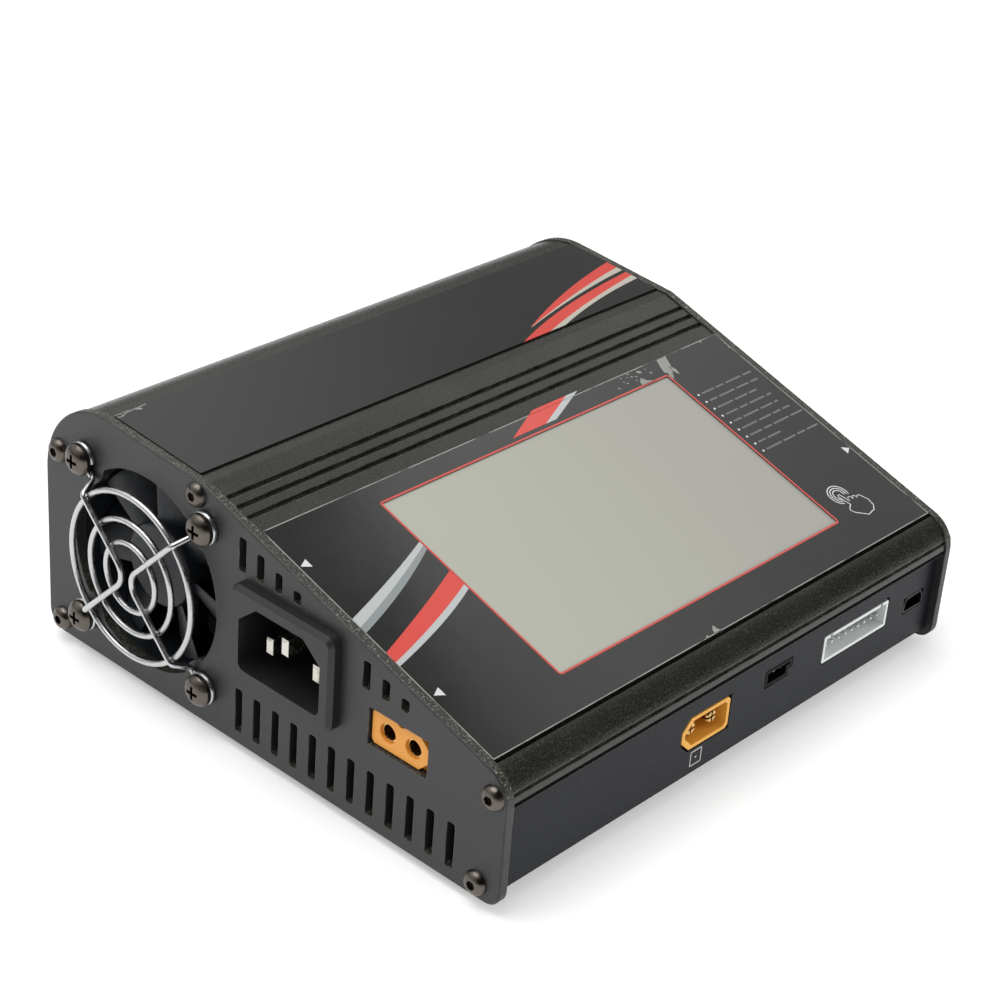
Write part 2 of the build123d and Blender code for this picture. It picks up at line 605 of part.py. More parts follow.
def button_head_screw():
    """M3 button-head screw along +X: the head's seat is at x = 0 and the shank runs to +X."""
    dome = BUTTON_HEAD_RADIUS * 0.5
    profile = make_face(
        [
            Line((0, 0), (0, BUTTON_HEAD_RADIUS)),
            ThreePointArc(
                (0, BUTTON_HEAD_RADIUS),
                (-BUTTON_HEAD_HEIGHT * 0.72, BUTTON_HEAD_RADIUS * 0.8),
                (-BUTTON_HEAD_HEIGHT, dome),
            ),
            Line((-BUTTON_HEAD_HEIGHT, dome), (-BUTTON_HEAD_HEIGHT, 0)),
            Line((-BUTTON_HEAD_HEIGHT, 0), (0, 0)),
        ]
    )
    head = revolve(profile, Axis.X)
    socket = RegularPolygon(HEX_ACROSS_FLATS / 2, 6, major_radius=False)
    head -= across_case(socket, -BUTTON_HEAD_HEIGHT - 0.5, -BUTTON_HEAD_HEIGHT + HEX_DEPTH)
    return head + rod_x(0, CAP_SCREW_LENGTH, 0, 0, SCREW_RADIUS)


def cap_screws(x_face, turned):
    """The five screws of one cap."""
    screw = button_head_screw()
    if turned:
        screw = Rot(0, 0, 180) * screw
    return joined([Pos(x_face, y, z) * screw for y, z in CAP_SCREWS])


def rubber_feet():
    """Four stick-on feet, slightly tapered, under the base plate."""
    foot = Cone(FOOT_RADIUS - 0.8, FOOT_RADIUS, BASE_Z)
    places = [
        (x, y)
        for x in (X_FAN_END + FOOT_INSET_X, X_USB_END - FOOT_INSET_X)
        for y in (Y_FRONT + FOOT_INSET_Y, Y_REAR - FOOT_INSET_Y)
    ]
    return joined([Pos(x, y, BASE_Z / 2) * foot for x, y in places])


# ------------------------------------------------------------------ labels and screen
def upper_label():
    """Printed film on the plateau."""
    start = X_INNER_FAN_END + LABEL_END_GAP
    end = X_INNER_USB_END - LABEL_END_GAP
    middle = Pos((start + end) / 2, UPPER_LABEL_FRONT + UPPER_LABEL_DEPTH / 2, LABEL_THICKNESS / 2 - COVER_INSET)
    return PLATEAU * middle * Box(end - start, UPPER_LABEL_DEPTH, LABEL_THICKNESS)


def lower_label():
    """Printed film on the console, with the screen's window."""
    label = on_console(
        X_INNER_FAN_END + LABEL_END_GAP, X_INNER_USB_END - LABEL_END_GAP,
        LOWER_LABEL_START, LOWER_LABEL_START + LOWER_LABEL_DEPTH,
        -COVER_INSET, LABEL_THICKNESS - COVER_INSET,
    )
    window = on_console(
        SCREEN_X - WINDOW_LENGTH / 2, SCREEN_X + WINDOW_LENGTH / 2,
        SCREEN_DOWN_SLOPE - WINDOW_DEPTH / 2, SCREEN_DOWN_SLOPE + WINDOW_DEPTH / 2,
        -COVER_INSET - 1, 1,
    )
    return label - fillet(window.edges().filter_by(Axis((0, 0, 0), CONSOLE.z_dir)), WINDOW_CORNER)


def touch_panel():
    """Touch panel in the cover's cut-out, under the label's border."""
    length = WINDOW_LENGTH + 2 * TOUCH_MARGIN - 2 * TOUCH_FIT
    depth = WINDOW_DEPTH + 2 * TOUCH_MARGIN - 2 * TOUCH_FIT
    return on_console(
        SCREEN_X - length / 2, SCREEN_X + length / 2,
        SCREEN_DOWN_SLOPE - depth / 2, SCREEN_DOWN_SLOPE + depth / 2,
        -COVER_INNER, -COVER_INSET,
    )


def lcd_module():
    """Display module behind the touch panel: metal frame round a slightly sunk screen."""
    top = -COVER_INNER
    module = on_console(
        SCREEN_X - LCD_LENGTH / 2, SCREEN_X + LCD_LENGTH / 2,
        SCREEN_DOWN_SLOPE - LCD_DEPTH / 2, SCREEN_DOWN_SLOPE + LCD_DEPTH / 2,
        top - LCD_THICKNESS, top,
    )
    return module - on_console(
        SCREEN_X - LCD_LENGTH / 2 + LCD_BEZEL, SCREEN_X + LCD_LENGTH / 2 - LCD_BEZEL,
        SCREEN_DOWN_SLOPE - LCD_DEPTH / 2 + LCD_BEZEL, SCREEN_DOWN_SLOPE + LCD_DEPTH / 2 - LCD_BEZEL,
        top - 0.3, top + 1,
    )


def display_foam():
    """Four foam pads that hold the display board behind the module."""
    top = -COVER_INNER - LCD_THICKNESS
    pads = []
    for side_x in (-1, 1):
        for side_s in (-1, 1):
            x = SCREEN_X + side_x * (LCD_LENGTH / 2 - FOAM_SIZE)
            down = SCREEN_DOWN_SLOPE + side_s * (LCD_DEPTH / 2 - FOAM_SIZE)
            pads.append(
                on_console(
                    x - FOAM_SIZE / 2, x + FOAM_SIZE / 2, down - FOAM_SIZE / 2, down + FOAM_SIZE / 2,
                    top - FOAM_THICKNESS, top,
                )
            )
    return joined(pads)


def display_board():
    """Display driver board on the foam pads, with its processor and ribbon socket."""
    top = -COVER_INNER - LCD_THICKNESS - FOAM_THICKNESS
    low = top - DISPLAY_BOARD_THICKNESS
    board = on_console(
        SCREEN_X - LCD_LENGTH / 2 + 2, SCREEN_X + LCD_LENGTH / 2 - 2,
        SCREEN_DOWN_SLOPE - LCD_DEPTH / 2 + 2, SCREEN_DOWN_SLOPE + LCD_DEPTH / 2 - 2,
        low, top,
    )
    board += on_console(SCREEN_X - 8, SCREEN_X + 8, SCREEN_DOWN_SLOPE - 8, SCREEN_DOWN_SLOPE + 8, low - 1.4, low)
    return board + on_console(
        SCREEN_X + 18, SCREEN_X + 40, SCREEN_DOWN_SLOPE + 2, SCREEN_DOWN_SLOPE + 7, low - 2.2, low
    )


# ------------------------------------------------------------------ fan
FAN_BACK = X_INNER_FAN_END + FAN_DEPTH
MOTOR_SEAT = FAN_BACK - 2.4  # front of the motor's base disc
HUB_FRONT = X_INNER_FAN_END + 1.5
HUB_BACK = MOTOR_SEAT - 1.2
BEARING_FRONT = HUB_FRONT + 4.0
BEARING_BACK = FAN_BACK - 1.4
TUBE_RADIUS = BEARING_RADIUS + 0.9


def on_fan_axis(shape):
    return Pos(0, FAN_Y, FAN_Z) * shape


def fan_frame():
    """Round duct with four screw ears, three struts and the motor's bearing tube."""
    half = FAN_HOLE_SPACING / 2
    outline = Circle(FAN_BORE_RADIUS + FAN_WALL)
    for turn in (45, -45):
        outline += Rot(0, 0, turn) * SlotCenterToCenter(2 * half * sqrt(2), 2 * FAN_EAR_RADIUS)
    frame = across_case(outline, X_INNER_FAN_END, FAN_BACK)
    frame -= rod_x(X_INNER_FAN_END - 1, FAN_BACK + 1, 0, 0, FAN_BORE_RADIUS)
    for index in range(3):
        strut = box(MOTOR_SEAT, FAN_BACK, -1.5, 1.5, HUB_RADIUS - 1, FAN_BORE_RADIUS + 0.3)
        frame += Rot(60 + 120 * index, 0, 0) * strut
    frame += rod_x(MOTOR_SEAT, FAN_BACK, 0, 0, HUB_RADIUS)
    frame += rod_x(BEARING_FRONT, FAN_BACK, 0, 0, TUBE_RADIUS)
    frame -= rod_x(BEARING_FRONT - 1, BEARING_BACK, 0, 0, BEARING_RADIUS)
    for y in (-half, half):
        for z in (-half, half):
            frame -= rod_x(X_INNER_FAN_END - 1, FAN_BACK + 1, y, z, FAN_SCREW_RADIUS + THREAD_CLEARANCE)
    return on_fan_axis(frame)


def fan_bearing():
    """Sintered sleeve pressed into the frame's tube."""
    sleeve = rod_x(BEARING_FRONT, BEARING_BACK, 0, 0, BEARING_RADIUS)
    return on_fan_axis(sleeve - rod_x(BEARING_FRONT - 1, BEARING_BACK + 1, 0, 0, SHAFT_RADIUS + SHAFT_CLEARANCE))


STATOR_FRONT = HUB_FRONT + 4.5
STATOR_BACK = MOTOR_SEAT - 3.0
MAGNET_INNER = HUB_RADIUS - HUB_WALL - 1.4
POLE_RADIUS = MAGNET_INNER - 0.4


def fan_stator():
    """Laminated core: a ring on the bearing tube and four T-shaped poles."""
    core = rod_x(STATOR_FRONT, STATOR_BACK, 0, 0, TUBE_RADIUS + 1.2)
    shoe_ring = rod_x(STATOR_FRONT, STATOR_BACK, 0, 0, POLE_RADIUS)
    shoe_ring -= rod_x(STATOR_FRONT - 1, STATOR_BACK + 1, 0, 0, POLE_RADIUS - 1.0)
    arc_cut = box(STATOR_FRONT - 1, STATOR_BACK + 1, -1.1, 1.1, -20, 20)
    shoes = shoe_ring - Rot(45, 0, 0) * arc_cut - Rot(-45, 0, 0) * arc_cut
    core += shoes
    for quarter in range(4):
        core += Rot(90 * quarter, 0, 0) * box(
            STATOR_FRONT, STATOR_BACK, -0.9, 0.9, TUBE_RADIUS + 0.5, POLE_RADIUS - 0.5
        )
    return on_fan_axis(core - rod_x(STATOR_FRONT - 1, STATOR_BACK + 1, 0, 0, TUBE_RADIUS))


def fan_windings():
    """Four copper coils, one round each pole."""
    inner = TUBE_RADIUS + 1.25
    outer = POLE_RADIUS - 1.4
    coil = box(STATOR_FRONT - 0.8, STATOR_BACK + 0.8, -1.7, 1.7, inner, outer)
    coil -= box(STATOR_FRONT - 0.02, STATOR_BACK + 0.02, -0.92, 0.92, inner - 1, outer + 1)
    return joined([on_fan_axis(Rot(90 * quarter, 0, 0) * coil) for quarter in range(4)])


def fan_board():
    """Drive board on the motor's base disc."""
    ring = rod_x(MOTOR_SEAT - 1.0, MOTOR_SEAT, 0, 0, HUB_RADIUS - HUB_WALL - 0.8)
    ring -= rod_x(MOTOR_SEAT - 2, MOTOR_SEAT + 1, 0, 0, TUBE_RADIUS)
    chip = box(MOTOR_SEAT - 1.8, MOTOR_SEAT - 0.9, -1.5, 1.5, 4.0, 6.6)
    return on_fan_axis(ring + chip)


def blade_section(chord, pitch, radius):
    """A thin cambered section at a radius: the plane's own axes are tangent and fan axis."""
    camber = chord * 0.12
    thickness = 1.0
    lens = make_face(
        [
            ThreePointArc((-chord / 2, 0), (0, camber + thickness / 2), (chord / 2, 0)),
            ThreePointArc((chord / 2, 0), (0, camber - thickness / 2), (-chord / 2, 0)),
        ]
    )
    middle_x = (HUB_FRONT + HUB_BACK) / 2 + 0.2
    plane = Plane(origin=(middle_x, 0, radius), x_dir=(0, 1, 0), z_dir=(0, 0, 1))
    return plane * Rot(0, 0, pitch) * lens


def fan_rotor():
    """Hub cup with seven swept blades."""
    hub = rod_x(HUB_FRONT, HUB_BACK, 0, 0, HUB_RADIUS)
    hub = fillet(hub.edges().filter_by(GeomType.CIRCLE).sort_by(Axis.X)[0], 1.0)
    hub -= rod_x(HUB_FRONT + 1.2, HUB_BACK + 1, 0, 0, HUB_RADIUS - HUB_WALL)
    hub += rod_x(HUB_FRONT + 1.0, BEARING_FRONT - 0.4, 0, 0, 2.0)
    hub -= rod_x(HUB_FRONT + 0.8, BEARING_FRONT, 0, 0, SHAFT_RADIUS)
    tip = FAN_BORE_RADIUS - FAN_TIP_CLEARANCE
    blade = loft([blade_section(10.0, 42, HUB_RADIUS - 0.5), blade_section(15.5, 28, tip + 1.5)])
    duct = rod_x(X_INNER_FAN_END, FAN_BACK, 0, 0, tip) - rod_x(
        X_INNER_FAN_END, FAN_BACK, 0, 0, HUB_RADIUS - HUB_WALL / 2
    )
    blade = blade & duct
    for index in range(BLADE_COUNT):
        hub += Rot(360 / BLADE_COUNT * index + 10, 0, 0) * blade
    return on_fan_axis(hub)


def fan_magnet():
    """Ring magnet inside the hub cup."""
    ring = rod_x(HUB_FRONT + 2.0, HUB_BACK - 0.5, 0, 0, HUB_RADIUS - HUB_WALL)
    return on_fan_axis(ring - rod_x(HUB_FRONT, HUB_BACK, 0, 0, MAGNET_INNER))


def fan_shaft():
    """Steel shaft pressed in the hub, running in the sleeve."""
    return on_fan_axis(rod_x(HUB_FRONT + 0.8, BEARING_BACK - 0.4, 0, 0, SHAFT_RADIUS))


def wire_section(hand):
    """Round section as one closed spline, whose sweeps join the rings cleanly; hand -1 is its mirror image."""
    places = [(WIRE_RADIUS * cos(radians(a)), hand * WIRE_RADIUS * sin(radians(a))) for a in range(0, 360, 45)]
    return make_face(Spline(*places, periodic=True))


def wire_along(edges, hand=1):
    """Round wire along straight runs and arcs laid end to end, each starting on the last one's end face."""
    section = wire_section(hand)
    side = Vector(1, 0, 0)
    wire = None
    for edge in edges:
        start = Plane(origin=edge @ 0, x_dir=side, z_dir=edge % 0) * section
        if edge.geom_type == GeomType.LINE:
            run = extrude(start, edge.length, dir=edge % 0)
        else:
            turn = Axis(edge.arc_center, (edge @ 0 - edge.arc_center).cross(edge % 0))
            angle = degrees(edge.length / edge.radius)
            run = revolve(start, turn, angle)
            side = side.rotate(turn, angle)
        wire = run if wire is None else wire + run
    return wire


def flat_arc(centre, radius, start, turn):
    """Arc in a sketch plane, from a start angle through a turn, in degrees."""
    angles = [radians(start + turn * share) for share in (0, 0.5, 1)]
    return ThreePointArc(*[(centre + radius * cos(a), radius * sin(a)) for a in angles]).edge()


def fan_guard():
    """Chromed wire guard: three rings and two bent spokes that end in eyes under the screws."""
    ring_x = X_FAN_END - RING_PROUD
    eye_x = X_FAN_END - WIRE_RADIUS
    spoke_x = X_FAN_END - SPOKE_PROUD
    rise = SPOKE_PROUD - WIRE_RADIUS
    eye_centre = FAN_HOLE_SPACING / sqrt(2)
    eye_reach = sqrt(EYE_RADIUS**2 + 2 * EYE_BEND_RADIUS * EYE_RADIUS)
    neck = eye_centre - eye_reach  # where the arm turns off into its eye
    ramp_foot = neck - RAMP_BEND_RADIUS * tan(radians(RAMP_ANGLE / 2)) - 0.05
    ramp_head = ramp_foot - rise / tan(radians(RAMP_ANGLE))
    side = Plane(origin=(eye_x, 0, 0), x_dir=(0, 1, 0), z_dir=(0, 0, 1))
    run = FilletPolyline(
        (SPOKE_BEND_RADIUS, rise), (ramp_head, rise), (ramp_foot, 0), (neck, 0), radius=RAMP_BEND_RADIUS
    )
    face = Plane(origin=(eye_x, 0, 0), x_dir=(0, 1, 0), z_dir=(-1, 0, 0))
    neck_turn = degrees(atan2(eye_reach, EYE_BEND_RADIUS))
    eye_start = 90 + neck_turn
    arm = list((side * run).edges())
    arm.append(face * Pos(0, EYE_BEND_RADIUS) * flat_arc(neck, EYE_BEND_RADIUS, -90, neck_turn))
    arm.append(face * flat_arc(eye_centre, EYE_RADIUS, eye_start, -EYE_TURN))
    corner = SPOKE_BEND_RADIUS * sqrt(0.5)
    middle = Plane(origin=(spoke_x, 0, 0), x_dir=(0, 1, 0), z_dir=(1, 0, 0)) * ThreePointArc(
        (corner, corner), (SPOKE_BEND_RADIUS * (sqrt(2) - 1), 0), (corner, -corner)
    )
    spoke = wire_along([middle.edge()]) + Rot(-45, 0, 0) * wire_along(arm)
    spoke += Rot(45, 0, 0) * wire_along(arm, -1)
    guard = spoke + Rot(180, 0, 0) * spoke
    for radius in RING_RADII:
        guard += Pos(ring_x, 0, 0) * Rot(0, 90, 0) * Torus(radius, WIRE_RADIUS)
    return on_fan_axis(guard)


def cross_recess(x, y, z, size, depth):
    """A tool that cuts a cross-shaped driver recess into a head that faces -X."""
    across = box(x - 1, x + depth, y - size / 2, y + size / 2, z - 0.4, z + 0.4)
    return across + box(x - 1, x + depth, y - 0.4, y + 0.4, z - size / 2, z + size / 2)


def fan_screws():
    """Four pan-head screws through the guard's eyes and the cap into the fan frame."""
    seat = X_FAN_END - 2 * WIRE_RADIUS
    top = seat - PAN_HEAD_HEIGHT
    half = FAN_HOLE_SPACING / 2
    screws = []
    for y in (-half, half):
        for z in (-half, half):
            profile = make_face(
                [
                    Line((seat, 0), (seat, PAN_HEAD_RADIUS)),
                    Line((seat, PAN_HEAD_RADIUS), (seat - 0.9, PAN_HEAD_RADIUS)),
                    ThreePointArc(
                        (seat - 0.9, PAN_HEAD_RADIUS),
                        (top + 0.35, PAN_HEAD_RADIUS * 0.72),
                        (top, 0),
                    ),
                    Line((top, 0), (seat, 0)),
                ]
            )
            head = revolve(profile, Axis.X)
            screw = head + rod_x(seat, X_INNER_FAN_END + 11, 0, 0, FAN_SCREW_RADIUS)
            screw -= cross_recess(top, 0, 0, 3.4, 1.5)
            screws.append(on_fan_axis(Pos(0, y, z) * screw))
    return joined(screws)


# ------------------------------------------------------------------ mains inlet and DC input
def inlet_opening(extra):
    """The inlet's recess seen from outside: its two upper corners are cut off."""
    half_width = INLET_OPENING_WIDTH / 2 + extra
    half_height = INLET_OPENING_HEIGHT / 2 + extra
    return rounded(
        (
            (-half_width, -half_height, 1.8),
            (half_width, -half_height, 1.8),
            (half_width, half_height - INLET_CHAMFER_HEIGHT, 0.4),
            (half_width - INLET_CHAMFER_WIDTH, half_height, 0.4),
            (-half_width + INLET_CHAMFER_WIDTH, half_height, 0.4),
            (-half_width, half_height - INLET_CHAMFER_HEIGHT, 0.4),
        )
    )


INLET_FACE = X_FAN_END - INLET_FLANGE_THICKNESS
INLET_FLOOR = INLET_FACE + INLET_OPENING_DEPTH
INLET_BACK = X_FAN_END + INLET_BODY_DEPTH
INLET_PIN_PLACES = (
    (-INLET_PIN_SPACING / 2, -INLET_PIN_STAGGER / 2, 3.7),
    (0, INLET_PIN_STAGGER / 2, 1.4),
    (INLET_PIN_SPACING / 2, -INLET_PIN_STAGGER / 2, 3.7),
)


def ac_inlet():
    """Snap-in mains inlet: bevelled flange, body through the cap and two latch wedges."""
    flange = across_case(
        RectangleRounded(INLET_FLANGE_WIDTH, INLET_FLANGE_HEIGHT, 2.4), INLET_FACE, X_FAN_END
    )
    front = flange.faces().sort_by(Axis.X)[0]
    flange = chamfer(front.edges(), 1.0)
    body = across_case(
        RectangleRounded(INLET_BODY_WIDTH, INLET_BODY_HEIGHT, 1.3), X_FAN_END, INLET_BACK
    )
    inlet = flange + body
    for side in (-1, 1):
        wedge = make_face(
            Polyline(
                (X_INNER_FAN_END + 0.2, side * (INLET_BODY_WIDTH / 2 + 1.1)),
                (X_INNER_FAN_END + 0.2, side * (INLET_BODY_WIDTH / 2 - 0.5)),
                (X_INNER_FAN_END + 6, side * (INLET_BODY_WIDTH / 2 - 0.5)),
                (X_INNER_FAN_END + 6, side * INLET_BODY_WIDTH / 2),
                close=True,
            )
        )
        inlet += Pos(0, 0, -4) * extrude(wedge, 8)
    inlet -= across_case(inlet_opening(0), INLET_FACE - 1, INLET_FLOOR)
    for y, z, _ in INLET_PIN_PLACES:
        inlet -= box(
            INLET_FLOOR - 1, INLET_BACK + 1, y - INLET_PIN_THICKNESS / 2, y + INLET_PIN_THICKNESS / 2,
            z - INLET_PIN_HEIGHT / 2, z + INLET_PIN_HEIGHT / 2,
        )
    return Pos(0, INLET_Y, INLET_Z) * inlet


def ac_pins():
    """Earth pin and two supply pins, each with a solder tab behind the body."""
    pins = []
    for y, z, recess in INLET_PIN_PLACES:
        pin = box(
            INLET_FACE + recess, INLET_BACK, y - INLET_PIN_THICKNESS / 2, y + INLET_PIN_THICKNESS / 2,
            z - INLET_PIN_HEIGHT / 2, z + INLET_PIN_HEIGHT / 2,
        )
        pin = chamfer(pin.faces().sort_by(Axis.X)[0].edges(), 0.5)
        pin += box(INLET_BACK - 1, INLET_BACK + 7, y - 0.4, y + 0.4, z - 1.6, z + 1.6)
        pins.append(Pos(0, INLET_Y, INLET_Z) * pin)
    return joined(pins)


DC_FACE = X_FAN_END + DC_RECESS
DC_BACK = DC_FACE + DC_BODY_DEPTH
DC_SHOULDER = X_INNER_FAN_END + 2.6
BRACKET_BACK = DC_SHOULDER + BRACKET_GAP + BRACKET_THICKNESS


def dc_input():
    """Housing of the DC input, with a shoulder that the bracket clamps behind the cap."""
    body = across_case(power_plug_outline(0, -1), DC_FACE, DC_BACK)
    shoulder = Rectangle(POWER_PLUG_WIDTH + 2 * DC_SHOULDER_REACH, POWER_PLUG_HEIGHT + 2 * DC_SHOULDER_REACH)
    housing = body + across_case(shoulder, X_INNER_FAN_END + 0.1, DC_SHOULDER)
    housing -= rod_x(DC_FACE - 1, DC_FACE + 1.2, 0, POWER_PLUG_HEIGHT / 2 + 0.5, 1.3)
    for side in (-1, 1):
        housing -= rod_x(DC_FACE - 1, DC_BACK + 1, side * CONTACT_SPACING / 2, 0, SOCKET_OUTER_RADIUS)
    return Pos(0, DC_Y, DC_Z) * housing


def dc_input_contacts():
    """Two gilt socket contacts: blind tubes with a solder cup behind the housing."""
    contacts = []
    for side in (-1, 1):
        tube = rod_x(DC_FACE + 0.6, DC_BACK + 4, 0, 0, SOCKET_OUTER_RADIUS)
        tube -= rod_x(DC_FACE, DC_FACE + 9, 0, 0, CONTACT_RADIUS)
        tube -= rod_x(DC_BACK + 1, DC_BACK + 5, 0, 0, CONTACT_RADIUS)
        contacts.append(Pos(0, DC_Y + side * CONTACT_SPACING / 2, DC_Z) * tube)
    return joined(contacts)


def dc_input_bracket():
    """Folded steel strip over the studs that holds the DC input against the cap."""
    strip = box(DC_SHOULDER + BRACKET_GAP, BRACKET_BACK, -STUD_OFFSET - 4, STUD_OFFSET + 4, -5.2, 5.2)
    strip -= across_case(power_plug_outline(BRACKET_FIT, -1), DC_SHOULDER - 1, DC_SHOULDER + 3)
    for side in (-1, 1):
        strip -= rod_x(DC_SHOULDER - 1, DC_SHOULDER + 3, side * STUD_OFFSET, 0, STUD_RADIUS + BRACKET_FIT)
    return Pos(0, DC_Y, DC_Z) * strip


def dc_input_nuts():
    """The bracket's two nuts on the cap's studs."""
    nuts = []
    for side in (-1, 1):
        nut = across_case(RegularPolygon(2.75, 6, major_radius=False), BRACKET_BACK, BRACKET_BACK + 2.4)
        nut -= rod_x(DC_SHOULDER, DC_SHOULDER + 5, 0, 0, STUD_RADIUS + THREAD_CLEARANCE)
        nuts.append(Pos(0, DC_Y + side * STUD_OFFSET, DC_Z) * nut)
    return joined(nuts)


# ------------------------------------------------------------------ battery-side sockets
SOCKET_FACE_Y = PANEL_FACE_Y  # the sockets' mouths are flush with the panel
HEADER_CAVITY = 7.5
HEADER_PIN = 0.64  # square pin's thickness
HEADER_PINS_BACK = SOCKET_FACE_Y + 13.2
OUTPUT_LEG_Y = SOCKET_FACE_Y + 17.3
OUTPUT_LEG = 2.0
HEADER_BACK = SOCKET_FACE_Y + 11.5
BALANCE_SLOT_FROM_END = 2.7


def charge_output():
    """Housing of the charge output: a walled cavity round two pins."""
    outline = Plane(origin=(OUTPUT_X, SOCKET_FACE_Y, Z_LOW + OUTPUT_HEIGHT), x_dir=(1, 0, 0), z_dir=(0, -1, 0))
    housing = extrude(outline * power_plug_outline(0, -1), -16)
    cavity = extrude(outline * power_plug_outline(-OUTPUT_WALL, -1), -OUTPUT_CAVITY_DEPTH)
    cavity += extrude(outline * power_plug_outline(-OUTPUT_WALL, -1), 1)
    housing -= cavity
    for side in (-1, 1):
        housing -= rod_y(
            OUTPUT_X + side * CONTACT_SPACING / 2, SOCKET_FACE_Y, SOCKET_FACE_Y + 17,
            Z_LOW + OUTPUT_HEIGHT, CONTACT_RADIUS,
        )
    return housing


def charge_output_pins():
    """Two gilt pins, slit crosswise at their tips, with solder legs into the board."""
    pins = []
    z = Z_LOW + OUTPUT_HEIGHT
    for side in (-1, 1):
        x = OUTPUT_X + side * CONTACT_SPACING / 2
        tip = SOCKET_FACE_Y + 1.2
        pin = rod_y(x, tip, SOCKET_FACE_Y + 18.5, z, CONTACT_RADIUS)
        pin = chamfer(pin.edges().filter_by(GeomType.CIRCLE).sort_by(Axis.Y)[0], 0.4)
        pin -= box(x - 3, x + 3, tip - 1, tip + 5, z - 0.25, z + 0.25)
        pin -= box(x - 0.25, x + 0.25, tip - 1, tip + 5, z - 3, z + 3)
        pin += box(
            x - OUTPUT_LEG / 2, x + OUTPUT_LEG / 2, OUTPUT_LEG_Y - OUTPUT_LEG / 2, OUTPUT_LEG_Y + OUTPUT_LEG / 2,
            BOARD_BOTTOM_Z + 0.1, z,
        )
        pins.append(pin)
    return joined(pins)


def header_base(x, width, back, z):
    """The foot that stands a header on the board, behind the panel."""
    return box(x - width / 2, x + width / 2, PANEL_BACK_Y + 1.5, back, BOARD_TOP_Z, z)


def header_pins(x, height, count, tip_recess):
    """Square pins, bent down into the board behind the header."""
    z = Z_LOW + height
    pins = []
    for index in range(count):
        middle = x + (index - (count - 1) / 2) * BALANCE_PITCH
        side = (middle - HEADER_PIN / 2, middle + HEADER_PIN / 2)
        pin = box(*side, SOCKET_FACE_Y + tip_recess, HEADER_PINS_BACK, z - HEADER_PIN / 2, z + HEADER_PIN / 2)
        pin += box(*side, HEADER_PINS_BACK - HEADER_PIN, HEADER_PINS_BACK, BOARD_BOTTOM_Z + 0.1, z)
        pins.append(pin)
    return joined(pins)


def balance_socket():
    """White nine-way header for the cells' balance lead: two slots in its upper wall."""
    z0 = Z_LOW + BALANCE_HEIGHT - BALANCE_TALL / 2
    z1 = z0 + BALANCE_TALL
    x0 = BALANCE_X - BALANCE_WIDTH / 2
    x1 = BALANCE_X + BALANCE_WIDTH / 2
    shell = box(x0, x1, SOCKET_FACE_Y, HEADER_BACK, z0, z1)
    shell = fillet(shell.edges().filter_by(Axis.Y), 0.5)
    shell -= box(
        x0 + SOCKET_WALL, x1 - SOCKET_WALL, SOCKET_FACE_Y - 1, SOCKET_FACE_Y + HEADER_CAVITY,
        z0 + SOCKET_WALL, z1 - SOCKET_WALL,
    )
    for slot in (x0 + BALANCE_SLOT_FROM_END, x1 - BALANCE_SLOT_FROM_END):
        shell -= box(slot - 0.5, slot + 0.5, SOCKET_FACE_Y - 1, SOCKET_FACE_Y + 5, z1 - 2 * SOCKET_WALL, z1 + 1)
    shell += header_base(BALANCE_X, BALANCE_WIDTH, HEADER_BACK, z0 + 0.1)
    return shell - header_holes(BALANCE_X, BALANCE_HEIGHT, BALANCE_PINS)


def header_holes(x, height, count):
    """The pins' passages through the back of a header."""
    z = Z_LOW + height
    holes = []
    for index in range(count):
        middle = x + (index - (count - 1) / 2) * BALANCE_PITCH
        side = (middle - HEADER_PIN / 2, middle + HEADER_PIN / 2)
        holes.append(box(*side, SOCKET_FACE_Y, HEADER_BACK + 1, z - HEADER_PIN / 2, z + HEADER_PIN / 2))
    return joined(holes)


def temp_socket():
    """Black three-way header for the temperature probe, keyed at one lower corner."""
    shell = temp_block(0, SOCKET_FACE_Y, HEADER_BACK)
    shell -= temp_block(-SOCKET_WALL, SOCKET_FACE_Y - 1, SOCKET_FACE_Y + HEADER_CAVITY)
    foot_width = TEMP_WIDTH - 2 * TEMP_KEY_WIDTH
    shell += header_base(TEMP_X, foot_width, HEADER_BACK, Z_LOW + TEMP_HEIGHT - TEMP_TALL / 2 + 0.1)
    return shell - header_holes(TEMP_X, TEMP_HEIGHT, TEMP_PINS)


def pc_port():
    """Drawn steel shell of the PC port, standing on the board on four legs."""
    z = Z_LOW + PC_PORT_HEIGHT
    half = PC_PORT_WIDTH / 2
    tall = PC_PORT_TALL / 2
    mouth = Plane(origin=(PC_PORT_X, SOCKET_FACE_Y, z), x_dir=(1, 0, 0), z_dir=(0, -1, 0))
    outer = make_face(
        Polyline((-half, -tall), (half, -tall), (half, tall * 0.2), (half - 0.9, tall), (-half + 0.9, tall),
                 (-half, tall * 0.2), close=True)
    )
    wall = PORT_SHELL
    inner = make_face(
        Polyline((-half + wall, wall - tall), (half - wall, wall - tall), (half - wall, tall * 0.2 - wall / 4),
                 (half - 0.9 - wall / 2, tall - wall), (-half + 0.9 + wall / 2, tall - wall),
                 (-half + wall, tall * 0.2 - wall / 4), close=True)
    )
    shell = extrude(mouth * outer, -9.0) - extrude(mouth * inner, -8.0) - extrude(mouth * inner, 1)
    for side in (-1, 1):
        for y in (SOCKET_FACE_Y + 3.0, SOCKET_FACE_Y + 7.5):
            x = PC_PORT_X + side * (half - 1.3)
            shell += box(x - 0.4, x + 0.4, y, y + 1.2, BOARD_TOP_Z, z - tall + 0.2)
    return shell


def pc_port_tongue():
    """Plastic tongue inside the PC port."""
    z = Z_LOW + PC_PORT_HEIGHT
    return box(PC_PORT_X - 2.6, PC_PORT_X + 2.6, SOCKET_FACE_Y + 1.5, SOCKET_FACE_Y + 8.0, z - 0.9, z + 0.1)


